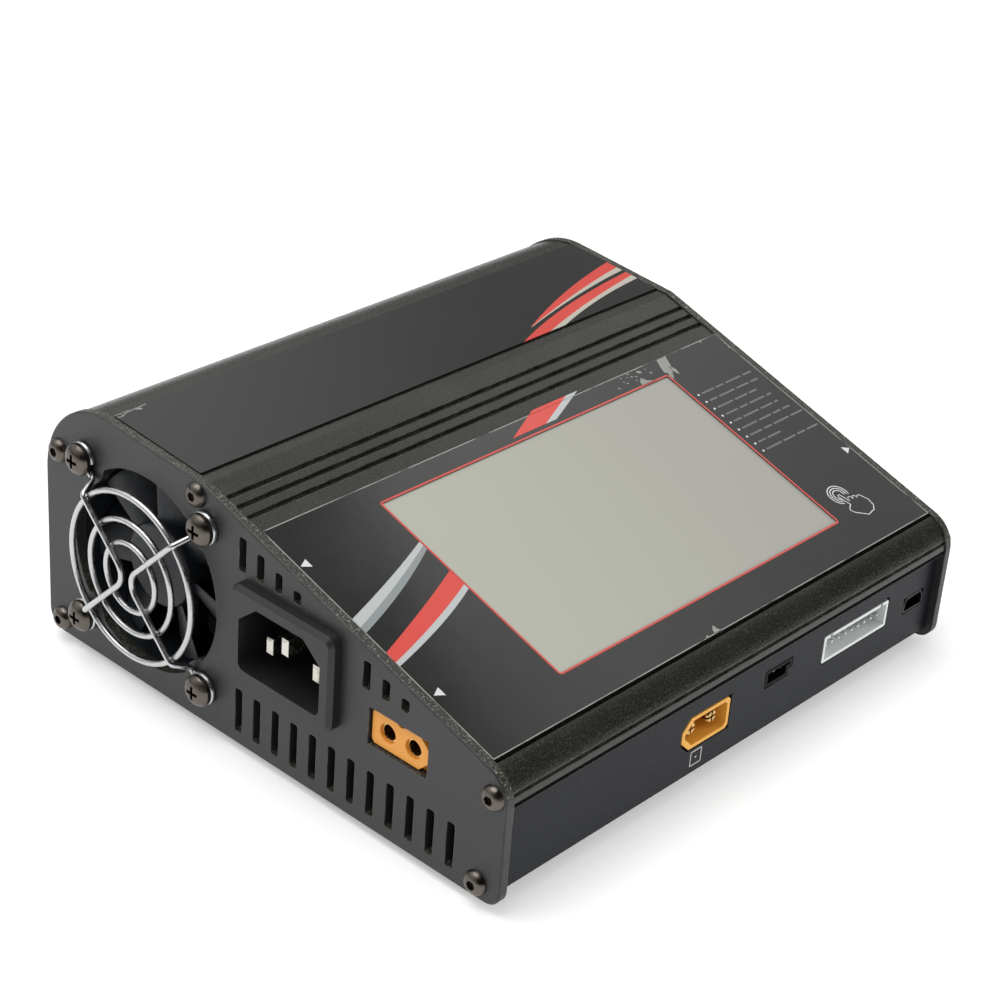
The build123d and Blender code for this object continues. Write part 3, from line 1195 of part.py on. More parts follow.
def usb_port():
    """Steel shell of the USB power port in the right cap."""
    z0 = BOARD_TOP_Z
    z1 = BOARD_TOP_Z + USB_TALL
    x0 = X_USB_END - USB_RECESS - USB_DEPTH
    x1 = X_USB_END - USB_RECESS
    wall = PORT_SHELL
    shell = box(x0, x1, USB_Y - USB_WIDTH / 2, USB_Y + USB_WIDTH / 2, z0, z1)
    return shell - box(
        x0 + 1.0, x1 + 1, USB_Y - USB_WIDTH / 2 + wall, USB_Y + USB_WIDTH / 2 - wall, z0 + wall, z1 - wall
    )


def usb_port_tongue():
    """Contact tongue in the USB port."""
    z1 = BOARD_TOP_Z + USB_TALL - PORT_SHELL - 0.5
    x0 = X_USB_END - USB_RECESS - USB_DEPTH + 1.0
    return box(x0, X_USB_END - 1.6, USB_Y - 5.5, USB_Y + 5.5, z1 - 1.8, z1)


# ------------------------------------------------------------------ boards and what stands on them
MAIN_X0 = X_INNER_FAN_END + 3.0
MAIN_X1 = X_INNER_USB_END - 1.0
MAIN_Y0 = PANEL_BACK_Y + 0.4
MAIN_Y1 = FAN_Y - 38.0
BAND_Y0 = MAIN_Y0 + 22.0  # behind the sockets
BAND_Y1 = MAIN_Y1 - 20.5  # in front of the capacitors
BAND_DEPTH = BAND_Y1 - BAND_Y0
POWER_X0 = FAN_BACK + 6.0
POWER_X1 = X_INNER_USB_END - 4.0
POWER_Y0 = MAIN_Y1 + 3.0
POWER_Y1 = Y_REAR - COVER_INNER - 4.5
SPACER_INSET = 4.5
MAIN_SPACERS = tuple(
    (x, y)
    for x in (MAIN_X0 + SPACER_INSET, MAIN_X1 - SPACER_INSET)
    for y in (MAIN_Y0 + SPACER_INSET + 8, MAIN_Y1 - SPACER_INSET)
)
POWER_SPACERS = tuple(
    (x, y)
    for x in (POWER_X0 + SPACER_INSET, POWER_X1 - SPACER_INSET)
    for y in (POWER_Y0 + SPACER_INSET, POWER_Y1 - SPACER_INSET)
)


def circuit_board(x0, x1, y0, y1, holes):
    board = box(x0, x1, y0, y1, BOARD_BOTTOM_Z, BOARD_TOP_Z)
    for x, y in holes:
        board -= rod_z(x, y, BOARD_BOTTOM_Z - 1, BOARD_TOP_Z + 1, SPACER_SCREW_RADIUS + SCREW_CLEARANCE)
    return board


def main_board():
    """Charger board with its processor: carries the battery-side sockets, with holes for their legs."""
    board = circuit_board(MAIN_X0, MAIN_X1, MAIN_Y0, MAIN_Y1, MAIN_SPACERS)
    board += standing(MAIN_MID_X + 44.0, MAIN_Y0 + 28.0, 12.0, 12.0, 1.6)
    half = HEADER_PIN / 2 + LEG_CLEARANCE
    y = HEADER_PINS_BACK - HEADER_PIN / 2
    for x, count in ((BALANCE_X, BALANCE_PINS), (TEMP_X, TEMP_PINS)):
        for index in range(count):
            middle = x + (index - (count - 1) / 2) * BALANCE_PITCH
            board -= box(middle - half, middle + half, y - half, y + half, BOARD_BOTTOM_Z - 1, BOARD_TOP_Z + 1)
    half = OUTPUT_LEG / 2 + LEG_CLEARANCE
    for side in (-1, 1):
        x = OUTPUT_X + side * CONTACT_SPACING / 2
        board -= box(
            x - half, x + half, OUTPUT_LEG_Y - half, OUTPUT_LEG_Y + half, BOARD_BOTTOM_Z - 1, BOARD_TOP_Z + 1
        )
    return board


def power_board():
    """Power-supply board behind the fan."""
    return circuit_board(POWER_X0, POWER_X1, POWER_Y0, POWER_Y1, POWER_SPACERS)


def board_spacers():
    """Threaded spacers pressed into the base plate."""
    spacers = []
    for x, y in MAIN_SPACERS + POWER_SPACERS:
        spacer = rod_z(x, y, BASE_TOP_Z, BOARD_BOTTOM_Z, SPACER_RADIUS)
        spacer -= rod_z(x, y, BASE_TOP_Z + 0.5, BOARD_BOTTOM_Z + 1, SPACER_SCREW_RADIUS + THREAD_CLEARANCE)
        spacers.append(spacer)
    return joined(spacers)


def board_screws():
    """Pan-head screws that hold both boards down."""
    screws = []
    for x, y in MAIN_SPACERS + POWER_SPACERS:
        screw = rod_z(x, y, BASE_TOP_Z + 0.9, BOARD_TOP_Z, SPACER_SCREW_RADIUS)
        screws.append(screw + rod_z(x, y, BOARD_TOP_Z, BOARD_TOP_Z + 1.8, SPACER_RADIUS))
    return joined(screws)


def insulating_sheet():
    """Fish paper under the power-supply board, on the base plate."""
    sheet = box(POWER_X0 - 2, POWER_X1 + 2, POWER_Y0 + 0.5, POWER_Y1 - 1, BASE_TOP_Z, BASE_TOP_Z + 0.3)
    for x, y in POWER_SPACERS:
        sheet -= rod_z(x, y, BASE_TOP_Z - 1, BASE_TOP_Z + 2, SPACER_RADIUS + 0.4)
    return sheet


def standing(x, y, width, depth, tall, lift=0.0):
    """A block on the boards, given by the middle of its foot."""
    return box(
        x - width / 2, x + width / 2, y - depth / 2, y + depth / 2, BOARD_TOP_Z + lift, BOARD_TOP_Z + lift + tall
    )


POWER_MID_X = (POWER_X0 + POWER_X1) / 2
POWER_MID_Y = (POWER_Y0 + POWER_Y1) / 2
TRANSFORMER_X = POWER_MID_X + 8.0
TRANSFORMER_LENGTH = 32.0
TRANSFORMER_DEPTH = 34.0
TRANSFORMER_TALL = 26.0
CORE_LEG = 6.0
CORE_DEPTH = 12.0
CORE_LOW = 2.0
CORE_TALL = TRANSFORMER_TALL - 2 * CORE_LOW
WINDOW_LENGTH_EACH = TRANSFORMER_LENGTH / 2 - CORE_LEG * 1.4
WINDOW_LOW = CORE_LOW + CORE_LEG * 0.8
WINDOW_TALL = CORE_TALL - CORE_LEG * 1.6
WINDOW_OFFSET = TRANSFORMER_LENGTH / 4 - 0.2


def transformer_core():
    """Ferrite core of two E halves: a frame round the bobbin and a middle leg through it."""
    core = standing(TRANSFORMER_X, POWER_MID_Y, TRANSFORMER_LENGTH, CORE_DEPTH, CORE_TALL, CORE_LOW)
    for side in (-1, 1):
        core -= standing(
            TRANSFORMER_X + side * WINDOW_OFFSET, POWER_MID_Y, WINDOW_LENGTH_EACH, CORE_DEPTH + 2, WINDOW_TALL, WINDOW_LOW
        )
    return core


def transformer_bobbin():
    """Bobbin with its taped windings, round the core's middle leg, with solder feet."""
    clear = 0.1
    outer = 2 * WINDOW_OFFSET + WINDOW_LENGTH_EACH - 2 * clear
    inner = 2 * WINDOW_OFFSET - WINDOW_LENGTH_EACH + 2 * clear
    bobbin = standing(
        TRANSFORMER_X, POWER_MID_Y, outer, TRANSFORMER_DEPTH - 8, WINDOW_TALL - 2 * clear, WINDOW_LOW + clear
    )
    bobbin -= standing(TRANSFORMER_X, POWER_MID_Y, inner, CORE_DEPTH + 2 * clear, WINDOW_TALL + 2, WINDOW_LOW - 1)
    for side in (-1, 1):
        y = POWER_MID_Y + side * (TRANSFORMER_DEPTH / 2 - 5.5)
        bobbin += standing(TRANSFORMER_X, y, outer, 3.0, WINDOW_LOW + 3)
    return bobbin


CAPACITOR_RADIUS = 9.0
CAPACITOR_X = POWER_X0 + 15.0


def bulk_capacitors():
    """Two mains-side electrolytic capacitors."""
    return joined(
        [
            rod_z(CAPACITOR_X, POWER_MID_Y + side * (CAPACITOR_RADIUS + 0.8), BOARD_TOP_Z, BOARD_TOP_Z + 30,
                  CAPACITOR_RADIUS)
            for side in (-1, 1)
        ]
    )


def mains_choke():
    """Common-mode choke: a wound ring core lying on the board."""
    x = CAPACITOR_X + 19.0
    y = POWER_Y1 - 20.0
    ring = rod_z(x, y, BOARD_TOP_Z, BOARD_TOP_Z + 11, 8.5) - rod_z(x, y, BOARD_TOP_Z - 1, BOARD_TOP_Z + 12, 3.5)
    return fillet(ring.edges().filter_by(GeomType.CIRCLE), 1.5)


def x_capacitor():
    """Box-shaped mains suppression capacitor."""
    return standing(CAPACITOR_X + 19.0, POWER_Y0 + 12.5, 8.0, 15.0, 13.0)


def mains_fuse():
    """Fuse body lying on its holder's two clips."""
    x = POWER_X0 + 19.0
    y = POWER_Y1 - 5.5
    fuse = Pos(x, y, BOARD_TOP_Z + 3.2) * Rot(0, 90, 0) * Cylinder(2.6, 12.0)
    for side in (-1, 1):
        fuse += Pos(x + side * 7.2, y, BOARD_TOP_Z + 3.2) * Rot(0, 90, 0) * Cylinder(3.0, 4.0)
        fuse += standing(x + side * 7.2, y, 3.0, 4.0, 2.5)
    return fuse


SINK_Y = POWER_Y0 + 4.2
SINK_X0 = TRANSFORMER_X - 22.0
SINK_X1 = POWER_X1 - 8.0
SINK_HALF = 1.25  # half the plate's thickness


def psu_heat_sink():
    """Finned aluminium plate standing along the front edge of the power-supply board."""
    sink = box(SINK_X0, SINK_X1, SINK_Y - SINK_HALF, SINK_Y + SINK_HALF, BOARD_TOP_Z, BOARD_TOP_Z + 24)
    fins = int((SINK_X1 - SINK_X0) // 9)
    for index in range(fins):
        x = SINK_X0 + (index + 0.5) * (SINK_X1 - SINK_X0) / fins
        sink += box(x - 0.8, x + 0.8, SINK_Y - 4.2, SINK_Y - 1.2, BOARD_TOP_Z + 5, BOARD_TOP_Z + 24)
    return sink


def switching_transistors():
    """Three transistors with their backs against the heat sink."""
    devices = []
    for index in range(3):
        x = SINK_X0 + 10 + index * 16
        body = box(x - 5, x + 5, SINK_Y + SINK_HALF, SINK_Y + SINK_HALF + 4.6, BOARD_TOP_Z + 8, BOARD_TOP_Z + 23)
        for leg in (-2.54, 0, 2.54):
            body += box(x + leg - 0.4, x + leg + 0.4, SINK_Y + 3.4, SINK_Y + 4.0, BOARD_TOP_Z, BOARD_TOP_Z + 9)
        devices.append(body)
    return joined(devices)


def bridge_rectifier():
    """Flat four-legged rectifier standing on the board."""
    x = CAPACITOR_X + 3.0
    y = POWER_Y0 + 6.0
    body = box(x - 10, x + 10, y - 1.9, y + 1.9, BOARD_TOP_Z + 4, BOARD_TOP_Z + 17)
    for index in range(4):
        leg = x - 7.5 + index * 5
        body += box(leg - 0.5, leg + 0.5, y - 0.4, y + 0.4, BOARD_TOP_Z, BOARD_TOP_Z + 5)
    return body


def output_capacitors():
    """Three low-voltage electrolytic capacitors in a row near the outlet vents."""
    x = TRANSFORMER_X + TRANSFORMER_LENGTH / 2 + 9.0
    return joined(
        [rod_z(x, POWER_MID_Y + (index - 1) * 11.5, BOARD_TOP_Z, BOARD_TOP_Z + 20, 5.0) for index in range(3)]
    )


MAIN_MID_X = (MAIN_X0 + MAIN_X1) / 2
SINK_FROM_BOARD_END = 9.0
SINK_LENGTH = 30.0
SINK_LOW = BOARD_TOP_Z + 2.4


def power_inductors():
    """Two flat-wire inductors with square cores."""
    cores = []
    for side in (-1, 1):
        core = standing(MAIN_MID_X + side * 15.0, (BAND_Y0 + BAND_Y1) / 2, 23.0, BAND_DEPTH, 12.0)
        cores.append(chamfer(core.edges().filter_by(Axis.Z), 3.0))
    return joined(cores)


def charger_heat_sink():
    """Finned block over the charger's power transistors."""
    x0 = MAIN_X0 + SINK_FROM_BOARD_END
    x1 = x0 + SINK_LENGTH
    sink = box(x0, x1, BAND_Y0, BAND_Y1, SINK_LOW, SINK_LOW + 2.5)
    for index in range(6):
        y = BAND_Y0 + 0.7 + index * (BAND_DEPTH - 1.4) / 5
        sink += box(x0, x1, y - 0.7, y + 0.7, SINK_LOW + 2.4, SINK_LOW + 8.0)
    return sink


def power_transistors():
    """Six surface-mounted transistors under the heat sink."""
    x0 = MAIN_X0 + SINK_FROM_BOARD_END
    return joined(
        [
            standing(
                x0 + SINK_LENGTH * (column + 0.5) / 3, BAND_Y0 + BAND_DEPTH * (row + 0.5) / 2,
                6.5, BAND_DEPTH * 0.38, SINK_LOW - BOARD_TOP_Z,
            )
            for column in range(3)
            for row in range(2)
        ]
    )


def charger_capacitors():
    """Four electrolytic capacitors between the inductors and the sockets."""
    return joined(
        [
            rod_z(MAIN_MID_X - 24.0 + index * 12.0, MAIN_Y1 - 14.0, BOARD_TOP_Z, BOARD_TOP_Z + 14, 4.5)
            for index in range(4)
        ]
    )


def buzzer():
    """Round sounder with its hole on top."""
    x = MAIN_MID_X - 40.0
    y = MAIN_Y0 + 11.0
    return rod_z(x, y, BOARD_TOP_Z, BOARD_TOP_Z + 9.5, 6.0) - rod_z(x, y, BOARD_TOP_Z + 6, BOARD_TOP_Z + 10, 1.0)


# ------------------------------------------------------------------ one file for each named piece
PIECES = {
    "top_cover": top_cover,
    "base_plate": base_plate,
    "front_panel": front_panel,
    "left_end_cap": left_end_cap,
    "right_end_cap": right_end_cap,
    "left_cap_screws": lambda: cap_screws(X_FAN_END, False),
    "right_cap_screws": lambda: cap_screws(X_USB_END, True),
    "rubber_feet": rubber_feet,
    "upper_label": upper_label,
    "lower_label": lower_label,
    "touch_panel": touch_panel,
    "lcd_module": lcd_module,
    "display_foam": display_foam,
    "display_board": display_board,
    "fan_frame": fan_frame,
    "fan_bearing": fan_bearing,
    "fan_stator": fan_stator,
    "fan_windings": fan_windings,
    "fan_board": fan_board,
    "fan_rotor": fan_rotor,
    "fan_magnet": fan_magnet,
    "fan_shaft": fan_shaft,
    "fan_guard": fan_guard,
    "fan_screws": fan_screws,
    "ac_inlet": ac_inlet,
    "ac_pins": ac_pins,
    "dc_input": dc_input,
    "dc_input_contacts": dc_input_contacts,
    "dc_input_bracket": dc_input_bracket,
    "dc_input_nuts": dc_input_nuts,
    "charge_output": charge_output,
    "charge_output_pins": charge_output_pins,
    "balance_socket": balance_socket,
    "balance_pins": lambda: header_pins(BALANCE_X, BALANCE_HEIGHT, BALANCE_PINS, 1.0),
    "temp_socket": temp_socket,
    "temp_pins": lambda: header_pins(TEMP_X, TEMP_HEIGHT, TEMP_PINS, 1.2),
    "pc_port": pc_port,
    "pc_port_tongue": pc_port_tongue,
    "usb_port": usb_port,
    "usb_port_tongue": usb_port_tongue,
    "main_board": main_board,
    "power_board": power_board,
    "board_spacers": board_spacers,
    "board_screws": board_screws,
    "insulating_sheet": insulating_sheet,
    "transformer_core": transformer_core,
    "transformer_bobbin": transformer_bobbin,
    "bulk_capacitors": bulk_capacitors,
    "mains_choke": mains_choke,
    "x_capacitor": x_capacitor,
    "mains_fuse": mains_fuse,
    "psu_heat_sink": psu_heat_sink,
    "switching_transistors": switching_transistors,
    "bridge_rectifier": bridge_rectifier,
    "output_capacitors": output_capacitors,
    "power_inductors": power_inductors,
    "charger_heat_sink": charger_heat_sink,
    "power_transistors": power_transistors,
    "charger_capacitors": charger_capacitors,
    "buzzer": buzzer,
}

for name, make in PIECES.items():
    export_step(make(), f"parts/{name}.step")
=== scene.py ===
from math import cos, pi, radians, sin

import bmesh
import bpy
from mathutils import Matrix, Vector


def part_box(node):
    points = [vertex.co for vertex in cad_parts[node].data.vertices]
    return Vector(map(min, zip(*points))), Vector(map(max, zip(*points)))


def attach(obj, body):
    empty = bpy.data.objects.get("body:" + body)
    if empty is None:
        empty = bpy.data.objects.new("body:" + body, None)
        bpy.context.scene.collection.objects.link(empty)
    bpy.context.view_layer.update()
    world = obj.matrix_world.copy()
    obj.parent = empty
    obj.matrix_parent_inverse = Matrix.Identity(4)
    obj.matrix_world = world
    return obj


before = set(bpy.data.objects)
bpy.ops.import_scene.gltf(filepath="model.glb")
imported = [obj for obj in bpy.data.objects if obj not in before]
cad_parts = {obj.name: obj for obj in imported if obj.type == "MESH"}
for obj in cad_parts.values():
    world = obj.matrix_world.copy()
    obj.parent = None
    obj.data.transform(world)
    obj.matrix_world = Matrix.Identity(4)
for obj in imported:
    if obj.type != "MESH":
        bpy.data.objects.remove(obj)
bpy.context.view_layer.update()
MM = 0.001


# ---------------------------------------------------------------- extruded cover
# The long cover is one aluminium extrusion, grit-blasted and dyed a warm black.  The blasting
# leaves pale flecks of bare metal, partly painted glints, and the dye is thin wherever the metal has an
# edge.
def put(tree, kind, **inputs):
    """Adds a node and sets the sockets that are named, with spaces written as underscores."""
    node = tree.nodes.new(kind)
    for socket, value in inputs.items():
        node.inputs[socket.replace("_", " ")].default_value = value
    return node


def feed(tree, value, socket):
    """Links a socket's value or sets a plain one; a colour is given as three numbers."""
    if isinstance(value, bpy.types.NodeSocket):
        tree.links.new(value, socket)
    else:
        socket.default_value = (*value, 1.0) if isinstance(value, tuple) else value


def calculate(tree, operation, first, second=0.0, clamp=False):
    node = tree.nodes.new("ShaderNodeMath")
    node.operation = operation
    node.use_clamp = clamp
    feed(tree, first, node.inputs[0])
    feed(tree, second, node.inputs[1])
    return node.outputs["Value"]


def multiplied(tree, first, *others):
    product = first
    for value in others:
        product = calculate(tree, "MULTIPLY", product, value)
    return product


def mixed(tree, share, first, second):
    """Goes from one number to another."""
    node = tree.nodes.new("ShaderNodeMix")
    feed(tree, share, node.inputs["Factor"])
    feed(tree, first, node.inputs["A"])
    feed(tree, second, node.inputs["B"])
    return node.outputs["Result"]


def stepped(tree, value, low, high, to_low=0.0, to_high=1.0):
    """Maps low..high smoothly onto to_low..to_high."""
    node = put(tree, "ShaderNodeMapRange", From_Min=low, From_Max=high, To_Min=to_low, To_Max=to_high)
    node.interpolation_type = "SMOOTHSTEP"
    tree.links.new(value, node.inputs["Value"])
    return node.outputs["Result"]


def blend_colours(tree, mask, first, second):
    node = tree.nodes.new("ShaderNodeMix")
    node.data_type = "RGBA"
    tree.links.new(mask, node.inputs["Factor"])
    first_colour, second_colour = node.inputs[6:8]
    feed(tree, first, first_colour)
    feed(tree, second, second_colour)
    return node.outputs[2]


def new_effect(name, inputs, outputs):
    """A shader node group with float inputs, given with their first values, and its outputs."""
    group = bpy.data.node_groups.new(name, "ShaderNodeTree")
    for socket, value in inputs.items():
        made = group.interface.new_socket(socket, in_out="INPUT", socket_type="NodeSocketFloat")
        made.default_value = value
    for socket, kind in outputs.items():
        group.interface.new_socket(socket, in_out="OUTPUT", socket_type=kind)
    entry = group.nodes.new("NodeGroupInput")
    end = group.nodes.new("NodeGroupOutput")
    return group, entry.outputs, end.inputs


def apply_effect(tree, group, **inputs):
    node = tree.nodes.new("ShaderNodeGroup")
    node.node_tree = group
    for socket, value in inputs.items():
        node.inputs[socket.replace("_", " ")].default_value = value
    return node.outputs


def object_noise(tree, scale, detail=2.0):
    """Cloudy noise that stays with the object; a higher scale is a finer grain."""
    place = tree.nodes.new("ShaderNodeTexCoord")
    noise = put(tree, "ShaderNodeTexNoise", Detail=detail)
    tree.links.new(place.outputs["Object"], noise.inputs["Vector"])
    feed(tree, scale, noise.inputs["Scale"])
    return noise.outputs["Fac"]


def parts_of(tree, vector):
    """The X, Y and Z outputs of a vector socket."""
    parted = tree.nodes.new("ShaderNodeSeparateXYZ")
    tree.links.new(vector, parted.inputs["Vector"])
    return parted.outputs


def object_place(tree):
    """Where a point lies on the object, as X, Y and Z outputs in metres."""
    return parts_of(tree, tree.nodes.new("ShaderNodeTexCoord").outputs["Object"])


def surface_normal(tree):
    """Which way the surface faces, as X, Y and Z outputs."""
    return parts_of(tree, tree.nodes.new("ShaderNodeNewGeometry").outputs["Normal"])


def roughen(tree, shader, height, strength, distance, under=None):
    """Bumps a shader's surface by a height, over an own normal where one is given."""
    bump = put(tree, "ShaderNodeBump", Strength=strength, Distance=distance)
    tree.links.new(height, bump.inputs["Height"])
    if under:
        tree.links.new(under, bump.inputs["Normal"])
    tree.links.new(bump.outputs["Normal"], shader.inputs["Normal"])


# how rubbed an edge is, and the normal that rounds it
rubbed_edge, entry, end = new_effect(
    "rubbed_edge",
    {"Width": 0.3 * MM, "Patchiness": 300.0, "Amount": 1.0},
    {"Mask": "NodeSocketFloat", "Normal": "NodeSocketVector"},
)
rounding = rubbed_edge.nodes.new("ShaderNodeBevel")
rounding.samples = 6
rubbed_edge.links.new(entry["Width"], rounding.inputs["Radius"])
facing = rubbed_edge.nodes.new("ShaderNodeNewGeometry")
turned = rubbed_edge.nodes.new("ShaderNodeVectorMath")
turned.operation = "DOT_PRODUCT"
rubbed_edge.links.new(rounding.outputs["Normal"], turned.inputs[0])
rubbed_edge.links.new(facing.outputs["Normal"], turned.inputs[1])
edge = calculate(rubbed_edge, "SUBTRACT", 1.0, turned.outputs["Value"])
edge = stepped(rubbed_edge, edge, 0.03, 0.2)
patches = stepped(rubbed_edge, object_noise(rubbed_edge, entry["Patchiness"], 4.0), 0.42, 0.62)
worn = multiplied(rubbed_edge, edge, patches, entry["Amount"])
rubbed_edge.links.new(worn, end["Mask"])
rubbed_edge.links.new(rounding.outputs["Normal"], end["Normal"])

# pale flecks for the blasting's bright facets, partly painted glints, and the pits it leaves
blasted_grain, entry, end = new_effect(
    "blasted_grain",
    {"Scale": 1800.0},
    {"Flecks_And_Glints": "NodeSocketFloat", "Height": "NodeSocketFloat", "Cloud": "NodeSocketFloat"},
)
grain = object_noise(blasted_grain, entry["Scale"], 5.0)
blasted_grain.links.new(stepped(blasted_grain, grain, 0.52, 0.68), end["Flecks_And_Glints"])
blasted_grain.links.new(grain, end["Height"])
blasted_grain.links.new(object_noise(blasted_grain, 45.0, 3.0), end["Cloud"])

# pale dust that lies on what faces up
lying_dust, entry, end = new_effect("lying_dust", {"Amount": 0.1}, {"Mask": "NodeSocketFloat"})
upward = stepped(lying_dust, surface_normal(lying_dust)["Z"], 0.3, 0.95)
flecks = stepped(lying_dust, object_noise(lying_dust, 2600.0, 1.0), 0.68, 0.78)
haze = stepped(lying_dust, object_noise(lying_dust, 60.0, 4.0), 0.4, 0.75, 0.0, 0.25)
laid = calculate(lying_dust, "ADD", flecks, haze)
laid = multiplied(lying_dust, laid, upward, entry["Amount"])
lying_dust.links.new(laid, end["Mask"])


def new_finish(name, roughness, metallic=0.0, **sockets):
    """A material and its Principled shader."""
    material = bpy.data.materials.new(name)
    material.use_nodes = True
    shader = material.node_tree.nodes["Principled BSDF"]
    shader.inputs["Roughness"].default_value = roughness
    shader.inputs["Metallic"].default_value = metallic
    for socket, value in sockets.items():
        shader.inputs[socket.replace("_", " ")].default_value = value
    return material, shader


def anodised(name, deep, thin, bare, grain_scale, fleck_and_glint_amount, relief, roughness, edge_amount, dust):
    """Blasted and dyed aluminium: deep and thin are the dye's two shades, bare is the metal."""
    material, shader = new_finish(name, roughness)
    tree = material.node_tree
    grain = apply_effect(tree, blasted_grain, Scale=grain_scale)
    edges = apply_effect(tree, rubbed_edge, Width=0.35 * MM, Amount=edge_amount)
    dusty = apply_effect(tree, lying_dust, Amount=dust)
    colour = blend_colours(tree, grain["Cloud"], deep, thin)
    # pale flecks of bare metal, partly painted glints
    painted_glint = multiplied(tree, grain["Flecks_And_Glints"], fleck_and_glint_amount)
    colour = blend_colours(tree, painted_glint, colour, bare)
    colour = blend_colours(tree, edges["Mask"], colour, bare)
    colour = blend_colours(tree, dusty["Mask"], colour, (0.42, 0.41, 0.37))
    tree.links.new(colour, shader.inputs["Base Color"])
    spread = stepped(tree, grain["Height"], 0.3, 0.7, roughness - 0.1, roughness + 0.12)
    tree.links.new(spread, shader.inputs["Roughness"])
    roughen(tree, shader, grain["Height"], relief, 0.05 * MM, edges["Normal"])
    return material, shader


def dress(material, *nodes):
    """Gives CAD nodes their finish."""
    for name in nodes:
        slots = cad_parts[name].data.materials
        slots.clear()
        slots.append(material)


cover_finish, shader = anodised(
    "blasted_black_extrusion",
    deep=(0.0120, 0.0120, 0.0090), thin=(0.0190, 0.0185, 0.0140), bare=(0.25, 0.24, 0.20),
    grain_scale=2700.0, fleck_and_glint_amount=0.13, relief=0.7, roughness=0.30, edge_amount=0.5, dust=0.06,
)
dress(cover_finish, "top_cover")


# ---------------------------------------------------------------- base plate and front panel
# The base closes the cover from below and is coated black, with a coarse matt grain.  The
# front panel is flat aluminium with a smooth satin coat of a cold blue black.
base_finish, shader = anodised(
    "powder_coated_base",
    deep=(0.020, 0.020, 0.021), thin=(0.026, 0.026, 0.027), bare=(0.20, 0.20, 0.20),
    grain_scale=1500.0, fleck_and_glint_amount=0.05, relief=0.35, roughness=0.52, edge_amount=0.15, dust=0.0,
)
dress(base_finish, "base_plate")

panel_finish, shader = new_finish("satin_panel", 0.4, Specular_IOR_Level=0.16)
tree = panel_finish.node_tree
cloud = object_noise(tree, 40.0, 4.0)
colour = blend_colours(tree, cloud, (0.0095, 0.0108, 0.0142), (0.0120, 0.0138, 0.0178))
edges = apply_effect(tree, rubbed_edge, Width=0.25 * MM, Amount=0.3)
colour = blend_colours(tree, edges["Mask"], colour, (0.3, 0.3, 0.31))
tree.links.new(colour, shader.inputs["Base Color"])
coat = object_noise(tree, 1800.0, 2.0)
tree.links.new(stepped(tree, coat, 0.3, 0.7, 0.38, 0.46), shader.inputs["Roughness"])
roughen(tree, shader, coat, 0.06, 0.02 * MM, edges["Normal"])
dress(panel_finish, "front_panel")


# ---------------------------------------------------------------- end caps
# Both caps are punched aluminium plates with the same dye, finer blasted than the cover.
# Painted shade darkens them toward the lower edge.  The cut rims on top are coarse and rubbed pale.
cap_finish, shader = anodised(
    "punched_cap_plate",
    deep=(0.021, 0.022, 0.0225), thin=(0.027, 0.028, 0.0285), bare=(0.36, 0.36, 0.34),
    grain_scale=4600.0, fleck_and_glint_amount=0.10, relief=0.25, roughness=0.42, edge_amount=0.75, dust=0.05,
)
tree = cap_finish.node_tree
plain = shader.inputs["Base Color"].links[0].from_socket
# painted shade: the plates darken toward the lower edge
painted_shade_below = stepped(tree, object_place(tree)["Z"], 0.0, 45.0 * MM, 0.45, 0.0)
plain = blend_colours(tree, painted_shade_below, plain, (0.008, 0.0085, 0.0087))
normal = surface_normal(tree)
aside = stepped(tree, calculate(tree, "ABSOLUTE", normal["X"]), 0.35, 0.65)
cut_face = multiplied(tree, calculate(tree, "SUBTRACT", 1.0, aside), stepped(tree, normal["Z"], 0.1, 0.5))
grit = apply_effect(tree, blasted_grain, Scale=2300.0)
# the grit's pale flecks are partly painted glints
gritty = blend_colours(tree, grit["Flecks_And_Glints"], (0.030, 0.029, 0.023), (0.21, 0.20, 0.165))
tree.links.new(blend_colours(tree, cut_face, plain, gritty), shader.inputs["Base Color"])
dress(cap_finish, "left_end_cap", "right_end_cap")


# ---------------------------------------------------------------- screws
# Plated steel: button heads with a hexagon socket in the caps, cross-recess pan heads on the
# fan guard.  The plating is a dark nickel, brighter where a tool has turned.
def plated(name, low, high, roughness):
    """Plated metal that is a little uneven in colour and polish."""
    material, shader = new_finish(name, roughness, 1.0)
    tree = material.node_tree
    cloud = object_noise(tree, 500.0, 4.0)
    tree.links.new(blend_colours(tree, cloud, low, high), shader.inputs["Base Color"])
    spread = stepped(tree, cloud, 0.3, 0.7, roughness * 0.7, roughness * 1.4)
    tree.links.new(spread, shader.inputs["Roughness"])
    edges = apply_effect(tree, rubbed_edge, Width=0.12 * MM)
    tree.links.new(edges["Normal"], shader.inputs["Normal"])
    return material


screw_finish = plated("dark_nickel", (0.085, 0.075, 0.066), (0.19, 0.165, 0.145), 0.32)
dress(screw_finish, "left_cap_screws", "right_cap_screws", "fan_screws")


# ---------------------------------------------------------------- feet
# Four soft black rubber discs, dull and faintly mottled, stuck under the base plate.
def moulded(name, colour, roughness, mottle=0.15, **sockets):
    """Moulded plastic or rubber: one colour, faintly mottled, with a fine skin."""
    material, shader = new_finish(name, roughness, **sockets)
    tree = material.node_tree
    cloud = object_noise(tree, 120.0, 3.0)
    paler = tuple(part * (1.0 + mottle) for part in colour)
    deeper = tuple(part * (1.0 - mottle) for part in colour)
    tree.links.new(blend_colours(tree, cloud, deeper, paler), shader.inputs["Base Color"])
    skin = object_noise(tree, 2500.0, 2.0)
    spread = stepped(tree, skin, 0.3, 0.7, roughness * 0.88, roughness * 1.12)
    tree.links.new(spread, shader.inputs["Roughness"])
    edges = apply_effect(tree, rubbed_edge, Width=0.15 * MM)
    roughen(tree, shader, skin, 0.1, 0.02 * MM, edges["Normal"])
    return material


dress(moulded("foot_rubber", (0.018, 0.018, 0.018), 0.8), "rubber_feet")


